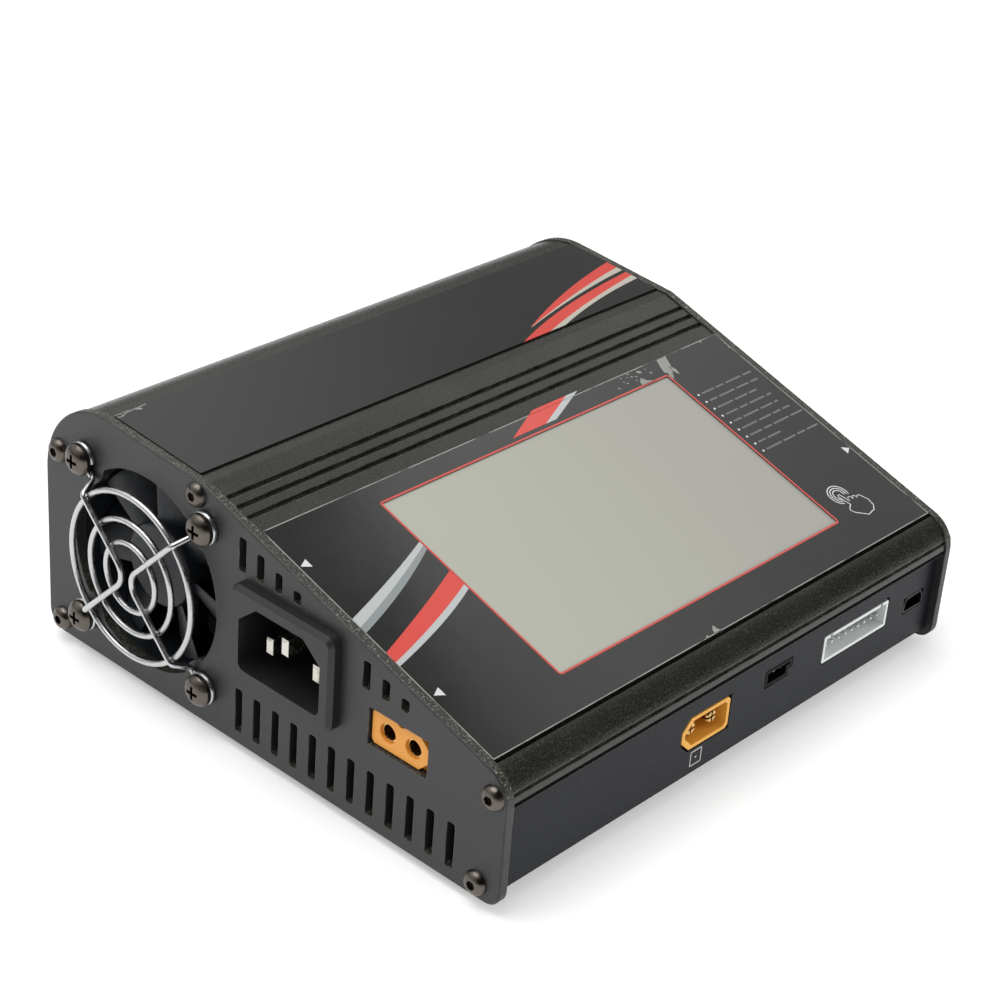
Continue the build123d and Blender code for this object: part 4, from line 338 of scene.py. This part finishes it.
# ---------------------------------------------------------------- printed films
# Two self-adhesive polycarbonate films, printed black from behind, with red and grey stripes.
# Their cut edges show white where the film has been picked at.
def film(name, low, high, roughness=0.2):
    """Glossy printed film with smears and a faint waviness."""
    material, shader = new_finish(name, roughness)
    tree = material.node_tree
    smear = object_noise(tree, 35.0, 5.0)
    tree.links.new(blend_colours(tree, smear, low, high), shader.inputs["Base Color"])
    spread = stepped(tree, smear, 0.3, 0.75, roughness * 0.75, roughness * 1.5)
    tree.links.new(spread, shader.inputs["Roughness"])
    roughen(tree, shader, object_noise(tree, 320.0, 2.0), 0.08, 0.05 * MM)
    return material


black_print = film("black_film", (0.0072, 0.0078, 0.0068), (0.0105, 0.0112, 0.0096), 0.09)
red_print = film("red_print", (0.58, 0.050, 0.036), (0.66, 0.070, 0.052))
grey_print = film("grey_print", (0.42, 0.44, 0.44), (0.48, 0.50, 0.50))
dark_grey_print = film("dark_grey_print", (0.22, 0.245, 0.245), (0.26, 0.285, 0.285))
cream_print = film("cream_print", (0.46, 0.43, 0.37), (0.52, 0.48, 0.42))
dress(black_print, "upper_label", "lower_label")

PRINT_THICKNESS = 0.03 * MM


def film_plane(node):
    """A film's own plane, from its front left corner, and its length and depth in millimetres."""
    low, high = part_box(node)
    widest = max(
        (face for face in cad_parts[node].data.polygons if face.normal.z > 0.5),
        key=lambda face: face.area,
    )
    normal = widest.normal.copy()
    across = Vector((1.0, 0.0, 0.0))
    up = normal.cross(across)
    corner = widest.center + up * ((low.y - widest.center.y) / up.y)
    corner.x = low.x
    return Matrix((
        (across.x, up.x, normal.x, corner.x),
        (across.y, up.y, normal.y, corner.y),
        (across.z, up.z, normal.z, corner.z),
        (0.0, 0.0, 0.0, 1.0),
    )), (high.x - low.x) / MM, (high.y - low.y) / up.y / MM


def upright_plane(x, y, z):
    """A plane that faces the front: across it is X and up it is Z."""
    return Matrix(((1.0, 0.0, 0.0, x), (0.0, 0.0, -1.0, y), (0.0, 1.0, 0.0, z), (0.0, 0.0, 0.0, 1.0)))


def add_patch(shape, points):
    """Adds one flat patch of print to a bmesh, from points in millimetres."""
    corners = [shape.verts.new((x * MM, y * MM, 0.0)) for x, y in points]
    return shape.faces.new(corners)


def bent_edge(start, middle, finish, steps=12):
    """Points along a gentle curve through three places."""
    (x0, y0), (x1, y1), (x2, y2) = start, middle, finish
    pull = (2 * x1 - (x0 + x2) / 2, 2 * y1 - (y0 + y2) / 2)
    line = []
    for index in range(steps + 1):
        t = index / steps
        a, b, c = (1 - t) ** 2, 2 * t * (1 - t), t ** 2
        line.append((a * x0 + b * pull[0] + c * x2, a * y0 + b * pull[1] + c * y2))
    return line


def stripe(shape, one_edge, other_edge):
    """A band between two bent edges, as quads."""
    first = bent_edge(*one_edge)
    second = bent_edge(*other_edge)
    for a, b, c, d in zip(first, first[1:], second[1:], second):
        add_patch(shape, (a, b, c, d))


def stroke(shape, line, width):
    """A line of print of one width through a list of places."""
    sides = []
    for index, (x, y) in enumerate(line):
        before = line[max(index - 1, 0)]
        after = line[min(index + 1, len(line) - 1)]
        run = Vector((after[0] - before[0], after[1] - before[1])).normalized() * width / 2
        sides.append(((x - run.y, y + run.x), (x + run.y, y - run.x)))
    for (a, b), (c, d) in zip(sides, sides[1:]):
        add_patch(shape, (a, b, d, c))


def arc_line(x, y, radius, start, finish, steps=14):
    """Places along an arc, from one angle to another in degrees."""
    angles = [radians(start + (finish - start) * step / steps) for step in range(steps + 1)]
    return [(x + radius * cos(angle), y + radius * sin(angle)) for angle in angles]


def rounded_loop(left, front, right, rear, radius):
    """The outline of a rectangle with rounded corners."""
    loop = arc_line(right - radius, rear - radius, radius, 0, 90, 4)
    loop += arc_line(left + radius, rear - radius, radius, 90, 180, 4)
    loop += arc_line(left + radius, front + radius, radius, 180, 270, 4)
    return loop + arc_line(right - radius, front + radius, radius, 270, 360, 4)


def chip(shape, x, y, length, width, lean):
    """A rough oval flake, leaning by an angle in degrees."""
    along = Vector((cos(radians(lean)), sin(radians(lean))))
    outline = []
    for step in range(9):
        angle = 2 * pi * step / 9
        reach = 1.0 + 0.16 * sin(step * 2.3 + x)
        u = reach * length / 2 * cos(angle)
        v = reach * width / 2 * sin(angle)
        outline.append((x + u * along.x - v * along.y, y + u * along.y + v * along.x))
    add_patch(shape, outline)


def level_line(shape, middle, finish, width, start=0.0):
    """A straight stroke across, at one height."""
    stroke(shape, ((start, middle), (finish, middle)), width)


def ink(name, shape, place, material):
    """Lays flat artwork on its plane, gives it the ink's thickness and makes it a piece."""
    bmesh.ops.remove_doubles(shape, verts=shape.verts, dist=0.001 * MM)
    flat = list(shape.faces)
    grown = bmesh.ops.extrude_face_region(shape, geom=flat)
    top = [item for item in grown["geom"] if isinstance(item, bmesh.types.BMVert)]
    bmesh.ops.translate(shape, verts=top, vec=(0.0, 0.0, PRINT_THICKNESS))
    bmesh.ops.transform(shape, matrix=place, verts=shape.verts)
    bmesh.ops.recalc_face_normals(shape, faces=shape.faces)
    mesh = bpy.data.meshes.new(name)
    shape.to_mesh(mesh)
    shape.free()
    mesh.materials.append(material)
    made = bpy.data.objects.new(name, mesh)
    bpy.context.scene.collection.objects.link(made)
    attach(made, "case")


ARTWORK_MARGIN = 1.1  # the lower artwork starts this far behind the film's front edge
lower_place, label_end, lower_depth = film_plane("lower_label")
lower_place = lower_place @ Matrix.Translation((0.0, ARTWORK_MARGIN * MM, 0.0))
upper_place, upper_end, upper_depth = film_plane("upper_label")

# lower film: stripes that run from the fan end up to the screen
SCREEN_LEFT = 28.7
grey_top = ((0.0, 41.5), (15.3, 46.4), (SCREEN_LEFT, 51.4))
grey_split = ((0.0, 38.9), (15.2, 44.4), (SCREEN_LEFT, 50.2))
grey_low = ((0.0, 37.2), (15.1, 42.6), (SCREEN_LEFT, 49.0))
red_top = ((0.0, 31.1), (16.5, 37.0), (SCREEN_LEFT, 41.9))
red_low = ((0.0, 28.2), (15.2, 32.5), (SCREEN_LEFT, 37.4))
edge_low = ((0.0, 27.0), (15.8, 31.2), (SCREEN_LEFT, 36.0))
shape = bmesh.new()
stripe(shape, grey_top, grey_split)
stripe(shape, red_low, edge_low)
add_patch(shape, ((94.9, 70.5), (98.9, 70.5), (86.6, 65.6), (83.0, 65.6)))
ink("lower_film_grey_stripes", shape, lower_place, grey_print)
shape = bmesh.new()
stripe(shape, grey_split, grey_low)
ink("lower_film_dark_stripe", shape, lower_place, dark_grey_print)
shape = bmesh.new()
stripe(shape, red_top, red_low)
add_patch(shape, ((83.2, 70.5), (94.9, 70.5), (83.0, 65.6), (71.9, 65.6)))
ink("lower_film_red_stripes", shape, lower_place, red_print)

# upper film: two tapering red bands with cream edges in its front right corner
rear_top = ((107.0, 4.4), (127.8, 11.9), (upper_end, 16.9))
rear_split = ((108.0, 4.6), (130.5, 10.2), (upper_end, 13.6))
rear_low = ((107.0, 4.2), (129.3, 9.1), (upper_end, 11.8))
front_top = ((99.6, 0.1), (121.8, 6.6), (upper_end, 10.6))
front_split = ((108.8, 0.1), (128.2, 5.0), (upper_end, 8.6))
front_low = ((114.2, 0.1), (131.1, 4.4), (upper_end, 6.7))
shape = bmesh.new()
stripe(shape, rear_top, rear_split)
stripe(shape, front_top, front_split)
ink("upper_film_red_bands", shape, upper_place, red_print)
shape = bmesh.new()
stripe(shape, rear_split, rear_low)
stripe(shape, front_split, front_low)
ink("upper_film_cream_edges", shape, upper_place, cream_print)

# arrowheads that point to the connectors, and the bullets of a list
POINTER_HALF = 1.2
FIRST_ROW = 55.5
ROW_PITCH = 2.675
RULE_ENDS = (147.0, 148.4, 143.0, 145.5, 145.0, 146.5, 148.4, 136.5, 148.0)
rows = [FIRST_ROW - index * ROW_PITCH for index in range(len(RULE_ENDS))]
white_print = film("white_print", (0.60, 0.62, 0.62), (0.68, 0.70, 0.69), 0.35)
shape = bmesh.new()
for tip, back, middle in ((0.6, 2.9, 58.0), (1.0, 3.3, 17.8), (label_end - 0.5, label_end - 2.4, 24.3)):
    add_patch(shape, ((tip, middle), (back, middle + POINTER_HALF), (back, middle - POINTER_HALF)))
for row in rows:
    add_patch(shape, arc_line(126.8, row, 0.33, 0.0, 315.0, 7))
ink("lower_film_pointers", shape, lower_place, white_print)

# plain broken rules beside the bullets
RULE_START = 128.0
RULE_WIDTH = 0.52
RULE_GAP = 0.8
SHORTEST_RULE = 1.2
RULE_LENGTHS = (4.6, 2.9, 5.8)
rule_print = film("rule_print", (0.12, 0.125, 0.12), (0.16, 0.165, 0.16), 0.3)
shape = bmesh.new()
for index, (row, finish) in enumerate(zip(rows, RULE_ENDS)):
    start = RULE_START
    while start < finish - SHORTEST_RULE:
        reached = min(start + RULE_LENGTHS[index % len(RULE_LENGTHS)], finish)
        level_line(shape, row, reached, RULE_WIDTH, start)
        start = reached + RULE_GAP
        index += 1
ink("lower_film_rules", shape, lower_place, rule_print)

# a pointing hand that touches three rings
shape = bmesh.new()
for radius in (1.5, 2.2, 2.9):
    stroke(shape, arc_line(132.4, 14.6, radius, -18.0, 250.0), 0.27)
stroke(shape, (
    (132.6, 11.0), (131.8, 13.8), (132.0, 14.6), (132.6, 14.6), (133.4, 11.8),
    (133.9, 13.0), (134.6, 12.9), (134.9, 12.0), (135.3, 12.7), (136.0, 12.6), (136.3, 11.8),
    (136.7, 12.3), (137.5, 12.0), (138.4, 10.0), (138.1, 8.2), (136.9, 7.0), (134.3, 6.5),
    (131.5, 8.6), (130.9, 9.7), (131.4, 10.3), (132.6, 11.0),
), 0.25)
ink("touch_symbol", shape, lower_place, white_print)


# a plain square with a dot, printed on the front panel below the charge output
low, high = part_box("front_panel")
SYMBOL_X = 61.4  # from the panel's left end
SYMBOL_UP = 8.5 - low.z / MM  # from its lower edge
SYMBOL_HALF = 1.8
corners = [
    (SYMBOL_X + SYMBOL_HALF * u, SYMBOL_UP + SYMBOL_HALF * v)
    for u, v in ((-1, -1), (1, -1), (1, 1), (-1, 1))
]
shape = bmesh.new()
for start, finish in zip(corners, corners[1:] + corners[:1]):
    stroke(shape, (start, finish), 0.24)
chip(shape, SYMBOL_X, SYMBOL_UP, 0.6, 0.5, 0.0)
ink("panel_symbol", shape, upright_plane(*low), white_print)


# ---------------------------------------------------------------- wear of the films, and painted shade round them
# The lower film's cut edges show white in places, and its front edge and the joints round
# both films are darkened with painted shade.  Both films are torn or nicked, with flakes of ink gone.
edge_print, shader = new_finish("whitened_edge", 0.45)
tree = edge_print.node_tree
picked = stepped(tree, object_noise(tree, 150.0, 6.0), 0.30, 0.52)
colour = blend_colours(tree, picked, (0.06, 0.06, 0.055), (0.30, 0.31, 0.285))
tree.links.new(colour, shader.inputs["Base Color"])
EDGE_WIDTH = 0.26
EDGE_SHADE = 0.42  # the strip between the front edge and its white line
front_edge = -ARTWORK_MARGIN
white_front = front_edge + EDGE_SHADE + 0.12
white_rear = lower_depth - ARTWORK_MARGIN - EDGE_WIDTH / 2
shape = bmesh.new()
for along in (white_rear, white_front):
    level_line(shape, along, label_end - 0.2, EDGE_WIDTH, 0.2)
for across in (EDGE_WIDTH / 2, label_end - EDGE_WIDTH / 2):
    stroke(shape, ((across, white_front), (across, white_rear)), EDGE_WIDTH)
ink("lower_film_edges", shape, lower_place, edge_print)

# painted shade on the lower film's front edge, and in the joint in front of it, a film's thickness down
painted_gap_shade, shader = new_finish("painted_seam_shade", 0.9, Specular_IOR_Level=0.05)
tree = painted_gap_shade.node_tree
# a faint mottle within the painted shade
shade_mottle = object_noise(tree, 500.0, 4.0)
colour = blend_colours(tree, shade_mottle, (0.001, 0.0012, 0.001), (0.006, 0.006, 0.005))
tree.links.new(colour, shader.inputs["Base Color"])
FILM_THICKNESS = 0.3
SEAM_WIDTH = 0.42
shape = bmesh.new()
level_line(shape, front_edge + EDGE_SHADE / 2, label_end, EDGE_SHADE)
ink("lower_film_edge_shade", shape, lower_place, painted_gap_shade)
shape = bmesh.new()
level_line(shape, front_edge - SEAM_WIDTH / 2, label_end, SEAM_WIDTH)
seam_place = lower_place @ Matrix.Translation((0.0, 0.0, -FILM_THICKNESS * MM))
ink("front_seam", shape, seam_place, painted_gap_shade)

# painted shade on the lower edge of the cover's lip, just above the front panel
LIP_SHADE = 0.9
LIP_OVER_PANEL = 0.22
LIP_FRONT = -70.36
low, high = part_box("top_cover")
lip_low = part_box("front_panel")[1].z / MM + LIP_OVER_PANEL
shape = bmesh.new()
level_line(shape, lip_low + LIP_SHADE / 2, (high.x - low.x) / MM, LIP_SHADE)
ink("lip_shade", shape, upright_plane(low.x, LIP_FRONT * MM, 0.0), painted_gap_shade)

# painted shade along the left and front edges of the upper film
SIDE_SEAM = 0.28
FRONT_SEAM = 0.4
shape = bmesh.new()
stroke(shape, ((SIDE_SEAM / 2, 0.0), (SIDE_SEAM / 2, upper_depth - 1.0)), SIDE_SEAM)
level_line(shape, FRONT_SEAM / 2, upper_end, FRONT_SEAM)
ink("upper_film_seams", shape, upper_place, painted_gap_shade)

# the lower film's tear behind the screen, its flakes, and a nick at the front edge
torn_print = film("torn_film", (0.22, 0.23, 0.21), (0.34, 0.35, 0.32), 0.5)
shape = bmesh.new()
add_patch(shape, ((126.5, 69.5), (127.8, 69.5), (125.6, 64.8), (124.8, 65.2), (125.4, 67.2)))
add_patch(shape, ((127.8, 69.5), (129.8, 69.5), (128.6, 66.6), (125.4, 62.4), (125.2, 63.8), (125.6, 64.8)))
chip(shape, 128.0, 64.9, 3.0, 1.2, -78.0)
add_patch(shape, ((117.5, 66.6), (116.2, 65.6), (115.8, 64.1), (120.9, 64.1), (119.4, 64.8), (118.4, 65.2)))
for x, y, size in (
    (118.7, 68.3, 1.5), (121.5, 66.8, 0.9), (115.6, 67.9, 0.8), (116.8, 67.5, 0.7), (115.3, 69.0, 0.7),
    (112.5, 68.7, 0.6), (112.2, 67.4, 0.6), (115.9, 66.4, 0.6), (109.4, 66.3, 0.8), (112.8, 66.6, 0.7),
    (121.0, 68.4, 0.5), (114.2, 68.2, 0.5), (142.9, 69.2, 0.7), (148.8, 65.9, 0.4), (148.7, 64.4, 0.6),
):
    chip(shape, x, y, size, size * 0.6, -35.0)
add_patch(shape, ((70.4, 1.5), (69.3, 0.5), (68.8, -0.9), (71.5, -0.9), (70.6, 0.2)))
chip(shape, 66.6, -0.3, 1.1, 0.5, 25.0)
ink("lower_film_tears", shape, lower_place, torn_print)

# the upper film's rear left corner, lifted and creased
shape = bmesh.new()
stroke(shape, ((0.3, 27.5), (1.6, 27.3), (3.0, 28.0), (4.8, 28.2), (9.0, 28.5)), 0.28)
stroke(shape, ((0.4, 28.4), (2.0, 28.5), (4.4, 28.6)), 0.22)
stroke(shape, ((2.0, 28.5), (1.7, 27.4)), 0.18)
chip(shape, 6.4, 27.9, 1.9, 0.9, -35.0)
ink("upper_film_tear", shape, upper_place, torn_print)


# ---------------------------------------------------------------- screen
# A resistive touch panel over an unlit display: a pale, slightly green grey with a satin face,
# a little darker and browner toward the right, a painted shade.  The film has a thin red line round the
# window.
screen_finish, shader = new_finish("unlit_screen", 0.32)
tree = screen_finish.node_tree
# painted shade: the screen darkens toward the right
painted_shade_to_right = stepped(tree, object_place(tree)["X"], -55.0 * MM, 60.0 * MM)
darker = blend_colours(tree, painted_shade_to_right, (0.400, 0.404, 0.338), (0.335, 0.331, 0.297))
paler = blend_colours(tree, painted_shade_to_right, (0.420, 0.424, 0.360), (0.353, 0.349, 0.315))
mottle = object_noise(tree, 14.0, 1.0)
tree.links.new(blend_colours(tree, mottle, darker, paler), shader.inputs["Base Color"])
tree.links.new(stepped(tree, mottle, 0.3, 0.7, 0.30, 0.34), shader.inputs["Roughness"])
roughen(tree, shader, object_noise(tree, 3000.0, 1.0), 0.05, 0.02 * MM)
dress(screen_finish, "touch_panel")

BORDER = 0.5
WINDOW_LEFT = 29.25
WINDOW_RIGHT = 124.6
WINDOW_FRONT = 8.8
WINDOW_REAR = 64.0
border_print = film("border_print", (0.50, 0.060, 0.048), (0.58, 0.080, 0.062))
inner = rounded_loop(WINDOW_LEFT, WINDOW_FRONT, WINDOW_RIGHT, WINDOW_REAR, 0.3)
outer = rounded_loop(
    WINDOW_LEFT - BORDER, WINDOW_FRONT - BORDER, WINDOW_RIGHT + BORDER, WINDOW_REAR + BORDER, 0.9
)
shape = bmesh.new()
for index in range(len(outer)):
    add_patch(shape, (outer[index - 1], outer[index], inner[index], inner[index - 1]))
ink("screen_border", shape, lower_place, border_print)


# ---------------------------------------------------------------- fan
# A 5 cm axial fan of black plastic behind a chromed wire guard.  The rotor turns on its shaft.
dress(moulded("fan_plastic", (0.010, 0.0125, 0.016), 0.4), "fan_frame", "fan_rotor")
dress(plated("chromed_wire", (0.50, 0.505, 0.51), (0.62, 0.625, 0.63), 0.3), "fan_guard")
dress(plated("fan_steel", (0.4, 0.4, 0.4), (0.5, 0.5, 0.5), 0.3), "fan_bearing", "fan_shaft")
dress(moulded("ferrite", (0.03, 0.03, 0.032), 0.6), "fan_magnet")
dress(plated("lacquered_copper", (0.45, 0.17, 0.07), (0.55, 0.22, 0.09), 0.35), "fan_windings")
dress(plated("fan_laminations", (0.28, 0.28, 0.28), (0.36, 0.36, 0.36), 0.45), "fan_stator")


# ---------------------------------------------------------------- mains inlet
# A flanged three-pole inlet of near-black thermoset, with flat nickel-plated pins.
dress(moulded("inlet_plastic", (0.014, 0.0145, 0.015), 0.45), "ac_inlet")
dress(plated("bright_nickel", (0.60, 0.58, 0.52), (0.70, 0.68, 0.62), 0.22), "ac_pins")


# ---------------------------------------------------------------- power connectors
# The DC input and the charge output are moulded of nylon, yellow and amber, round gold-plated
# contacts.  A zinc-plated bracket holds the DC input with two nuts.
dress(moulded("yellow_nylon", (0.95, 0.40, 0.06), 0.38, 0.08), "dc_input")
dress(moulded("amber_nylon", (0.92, 0.45, 0.06), 0.38, 0.04), "charge_output")
gold = plated("gold_plate", (0.66, 0.42, 0.14), (0.76, 0.52, 0.2), 0.22)
dress(gold, "dc_input_contacts", "charge_output_pins")
dress(plated("zinc_plate", (0.5, 0.5, 0.5), (0.62, 0.62, 0.6), 0.35), "dc_input_bracket", "dc_input_nuts")


# ---------------------------------------------------------------- signal sockets
# White nylon for the balance socket, black for the temperature, PC and USB sockets, each with
# tinned or gilt contacts.
dress(moulded("white_nylon", (0.80, 0.83, 0.82), 0.42, 0.04), "balance_socket")
black_nylon = moulded("black_nylon", (0.004, 0.0042, 0.005), 0.45, Specular_IOR_Level=0.08)
dress(black_nylon, "temp_socket", "pc_port_tongue", "usb_port_tongue")
tinned = plated("tinned", (0.6, 0.6, 0.58), (0.7, 0.7, 0.68), 0.28)
dress(tinned, "balance_pins", "temp_pins", "usb_port")
dress(plated("black_nickel", (0.035, 0.034, 0.034), (0.07, 0.068, 0.066), 0.35), "pc_port")


# ---------------------------------------------------------------- electronics
# What the vents let through: green boards on spacers with their larger parts and heat sinks.
solder_mask = moulded("solder_mask", (0.015, 0.07, 0.03), 0.4)
dress(solder_mask, "main_board", "power_board", "display_board", "fan_board")
dress(tinned, "board_spacers", "board_screws", "lcd_module")
sink_aluminium = plated("sink_aluminium", (0.5, 0.5, 0.5), (0.58, 0.58, 0.58), 0.4)
dress(sink_aluminium, "psu_heat_sink", "charger_heat_sink")
component_black = moulded("component_black", (0.02, 0.02, 0.021), 0.5)
dress(component_black, "switching_transistors", "power_transistors", "bridge_rectifier", "buzzer")
dress(component_black, "bulk_capacitors", "output_capacitors", "charger_capacitors")
dress(component_black, "transformer_core", "power_inductors")
dress(moulded("bobbin_nylon", (0.5, 0.38, 0.08), 0.5), "transformer_bobbin", "mains_choke", "x_capacitor")
dress(moulded("fish_paper", (0.35, 0.33, 0.28), 0.8), "insulating_sheet", "mains_fuse")
dress(moulded("foam", (0.03, 0.03, 0.03), 0.95), "display_foam")


# ---------------------------------------------------------------- studio
# A plain white table and backdrop with soft light from above and a low lamp at the right.
# The camera stands in front of the fan end, a little above the object.
shape = bmesh.new()
bmesh.ops.create_grid(shape, x_segments=1, y_segments=1, size=3.0)
mesh = bpy.data.meshes.new("table")
shape.to_mesh(mesh)
shape.free()
table = bpy.data.objects.new("table", mesh)
bpy.context.scene.collection.objects.link(table)
table_finish, shader = new_finish("white_table", 0.9)
shader.inputs["Base Color"].default_value = (0.80, 0.80, 0.80, 1.0)
tree = table_finish.node_tree
path = tree.nodes.new("ShaderNodeLightPath").outputs
seen = calculate(tree, "ADD", path["Is Camera Ray"], path["Is Glossy Ray"], True)
seen = calculate(tree, "ADD", seen, path["Is Transmission Ray"], True)
away = tree.nodes.new("ShaderNodeVectorMath")
away.operation = "LENGTH"
tree.links.new(tree.nodes.new("ShaderNodeTexCoord").outputs["Object"], away.inputs[0])
farther = stepped(tree, away.outputs["Value"], 0.4, 1.2, 0.0, 0.4)  # the lamps don't reach there
farther = multiplied(tree, farther, path["Is Camera Ray"])
lift = calculate(tree, "ADD", multiplied(tree, seen, 0.36), farther)
shader.inputs["Emission Color"].default_value = (1.0, 1.0, 1.0, 1.0)
tree.links.new(lift, shader.inputs["Emission Strength"])
mesh.materials.append(table_finish)

world = bpy.data.worlds.new("studio")
bpy.context.scene.world = world
world.use_nodes = True
tree = world.node_tree

# The films mirror two soft banks of light.  The low one starts at a slanted edge and falls off
# to the right, the high one falls off to the right, and both fade out to the front and below.
direction = parts_of(tree, tree.nodes.new("ShaderNodeTexCoord").outputs["Generated"])
right = direction["X"]
back = direction["Y"]
slanted = calculate(tree, "ADD", right, multiplied(tree, back, 0.09))
low_bank = multiplied(
    tree,
    stepped(tree, slanted, 0.631, 0.650, 0.42, 1.62),
    stepped(tree, right, 0.655, 0.76, 1.0, 0.64),
    stepped(tree, back, 0.09, 0.22, 0.80, 1.0),
)
high_bank = stepped(tree, right, 0.55, 0.70, 0.95, 0.40)
mirrored = multiplied(
    tree,
    mixed(tree, stepped(tree, back, 0.27, 0.42), low_bank, high_bank),
    stepped(tree, back, -0.14, 0.07, 0.06, 1.0),
    stepped(tree, direction["Z"], 0.1, 0.47, 0.2, 1.0),
)

# The backdrop is white where it is seen, and lights the object at the world's plain level.
WORLD_LEVEL = 0.62
path = tree.nodes.new("ShaderNodeLightPath").outputs
seen = calculate(tree, "ADD", path["Is Camera Ray"], path["Is Transmission Ray"], True)
strength = mixed(tree, path["Is Glossy Ray"], WORLD_LEVEL, mirrored)
strength = mixed(tree, seen, strength, 1.0)
background = tree.nodes["Background"]
background.inputs["Color"].default_value = (1.0, 1.0, 1.0, 1.0)
tree.links.new(strength, background.inputs["Strength"])


def lamp(name, place, aim, size, power):
    """A round soft lamp that looks at a point."""
    light = bpy.data.lights.new(name, "AREA")
    light.shape = "DISK"
    light.size = size
    light.energy = power
    held = bpy.data.objects.new(name, light)
    held.location = place
    held.rotation_euler = (Vector(aim) - Vector(place)).to_track_quat("-Z", "Y").to_euler()
    bpy.context.scene.collection.objects.link(held)
    return held


lamp("overhead", (-0.35, 0.25, 1.3), (0.0, 0.0, 0.03), 1.2, 11.0)
fill = lamp("low_front_right", (0.95, -0.62, 0.16), (0.05, -0.07, 0.02), 0.3, 5.0)
fill.visible_glossy = False  # it lights the front without a highlight of its own

camera_data = bpy.data.cameras.new("camera")
camera_data.lens = 87.5
camera_data.sensor_width = 36.0
camera_data.clip_start = 0.01
camera = bpy.data.objects.new("camera", camera_data)
camera.location = (-0.3665, -0.3140, 0.3066)
camera.rotation_euler = (radians(60.798), radians(-3.942), radians(-47.062))
bpy.context.scene.collection.objects.link(camera)
bpy.context.scene.camera = camera
bpy.context.scene.view_settings.view_transform = "Standard"
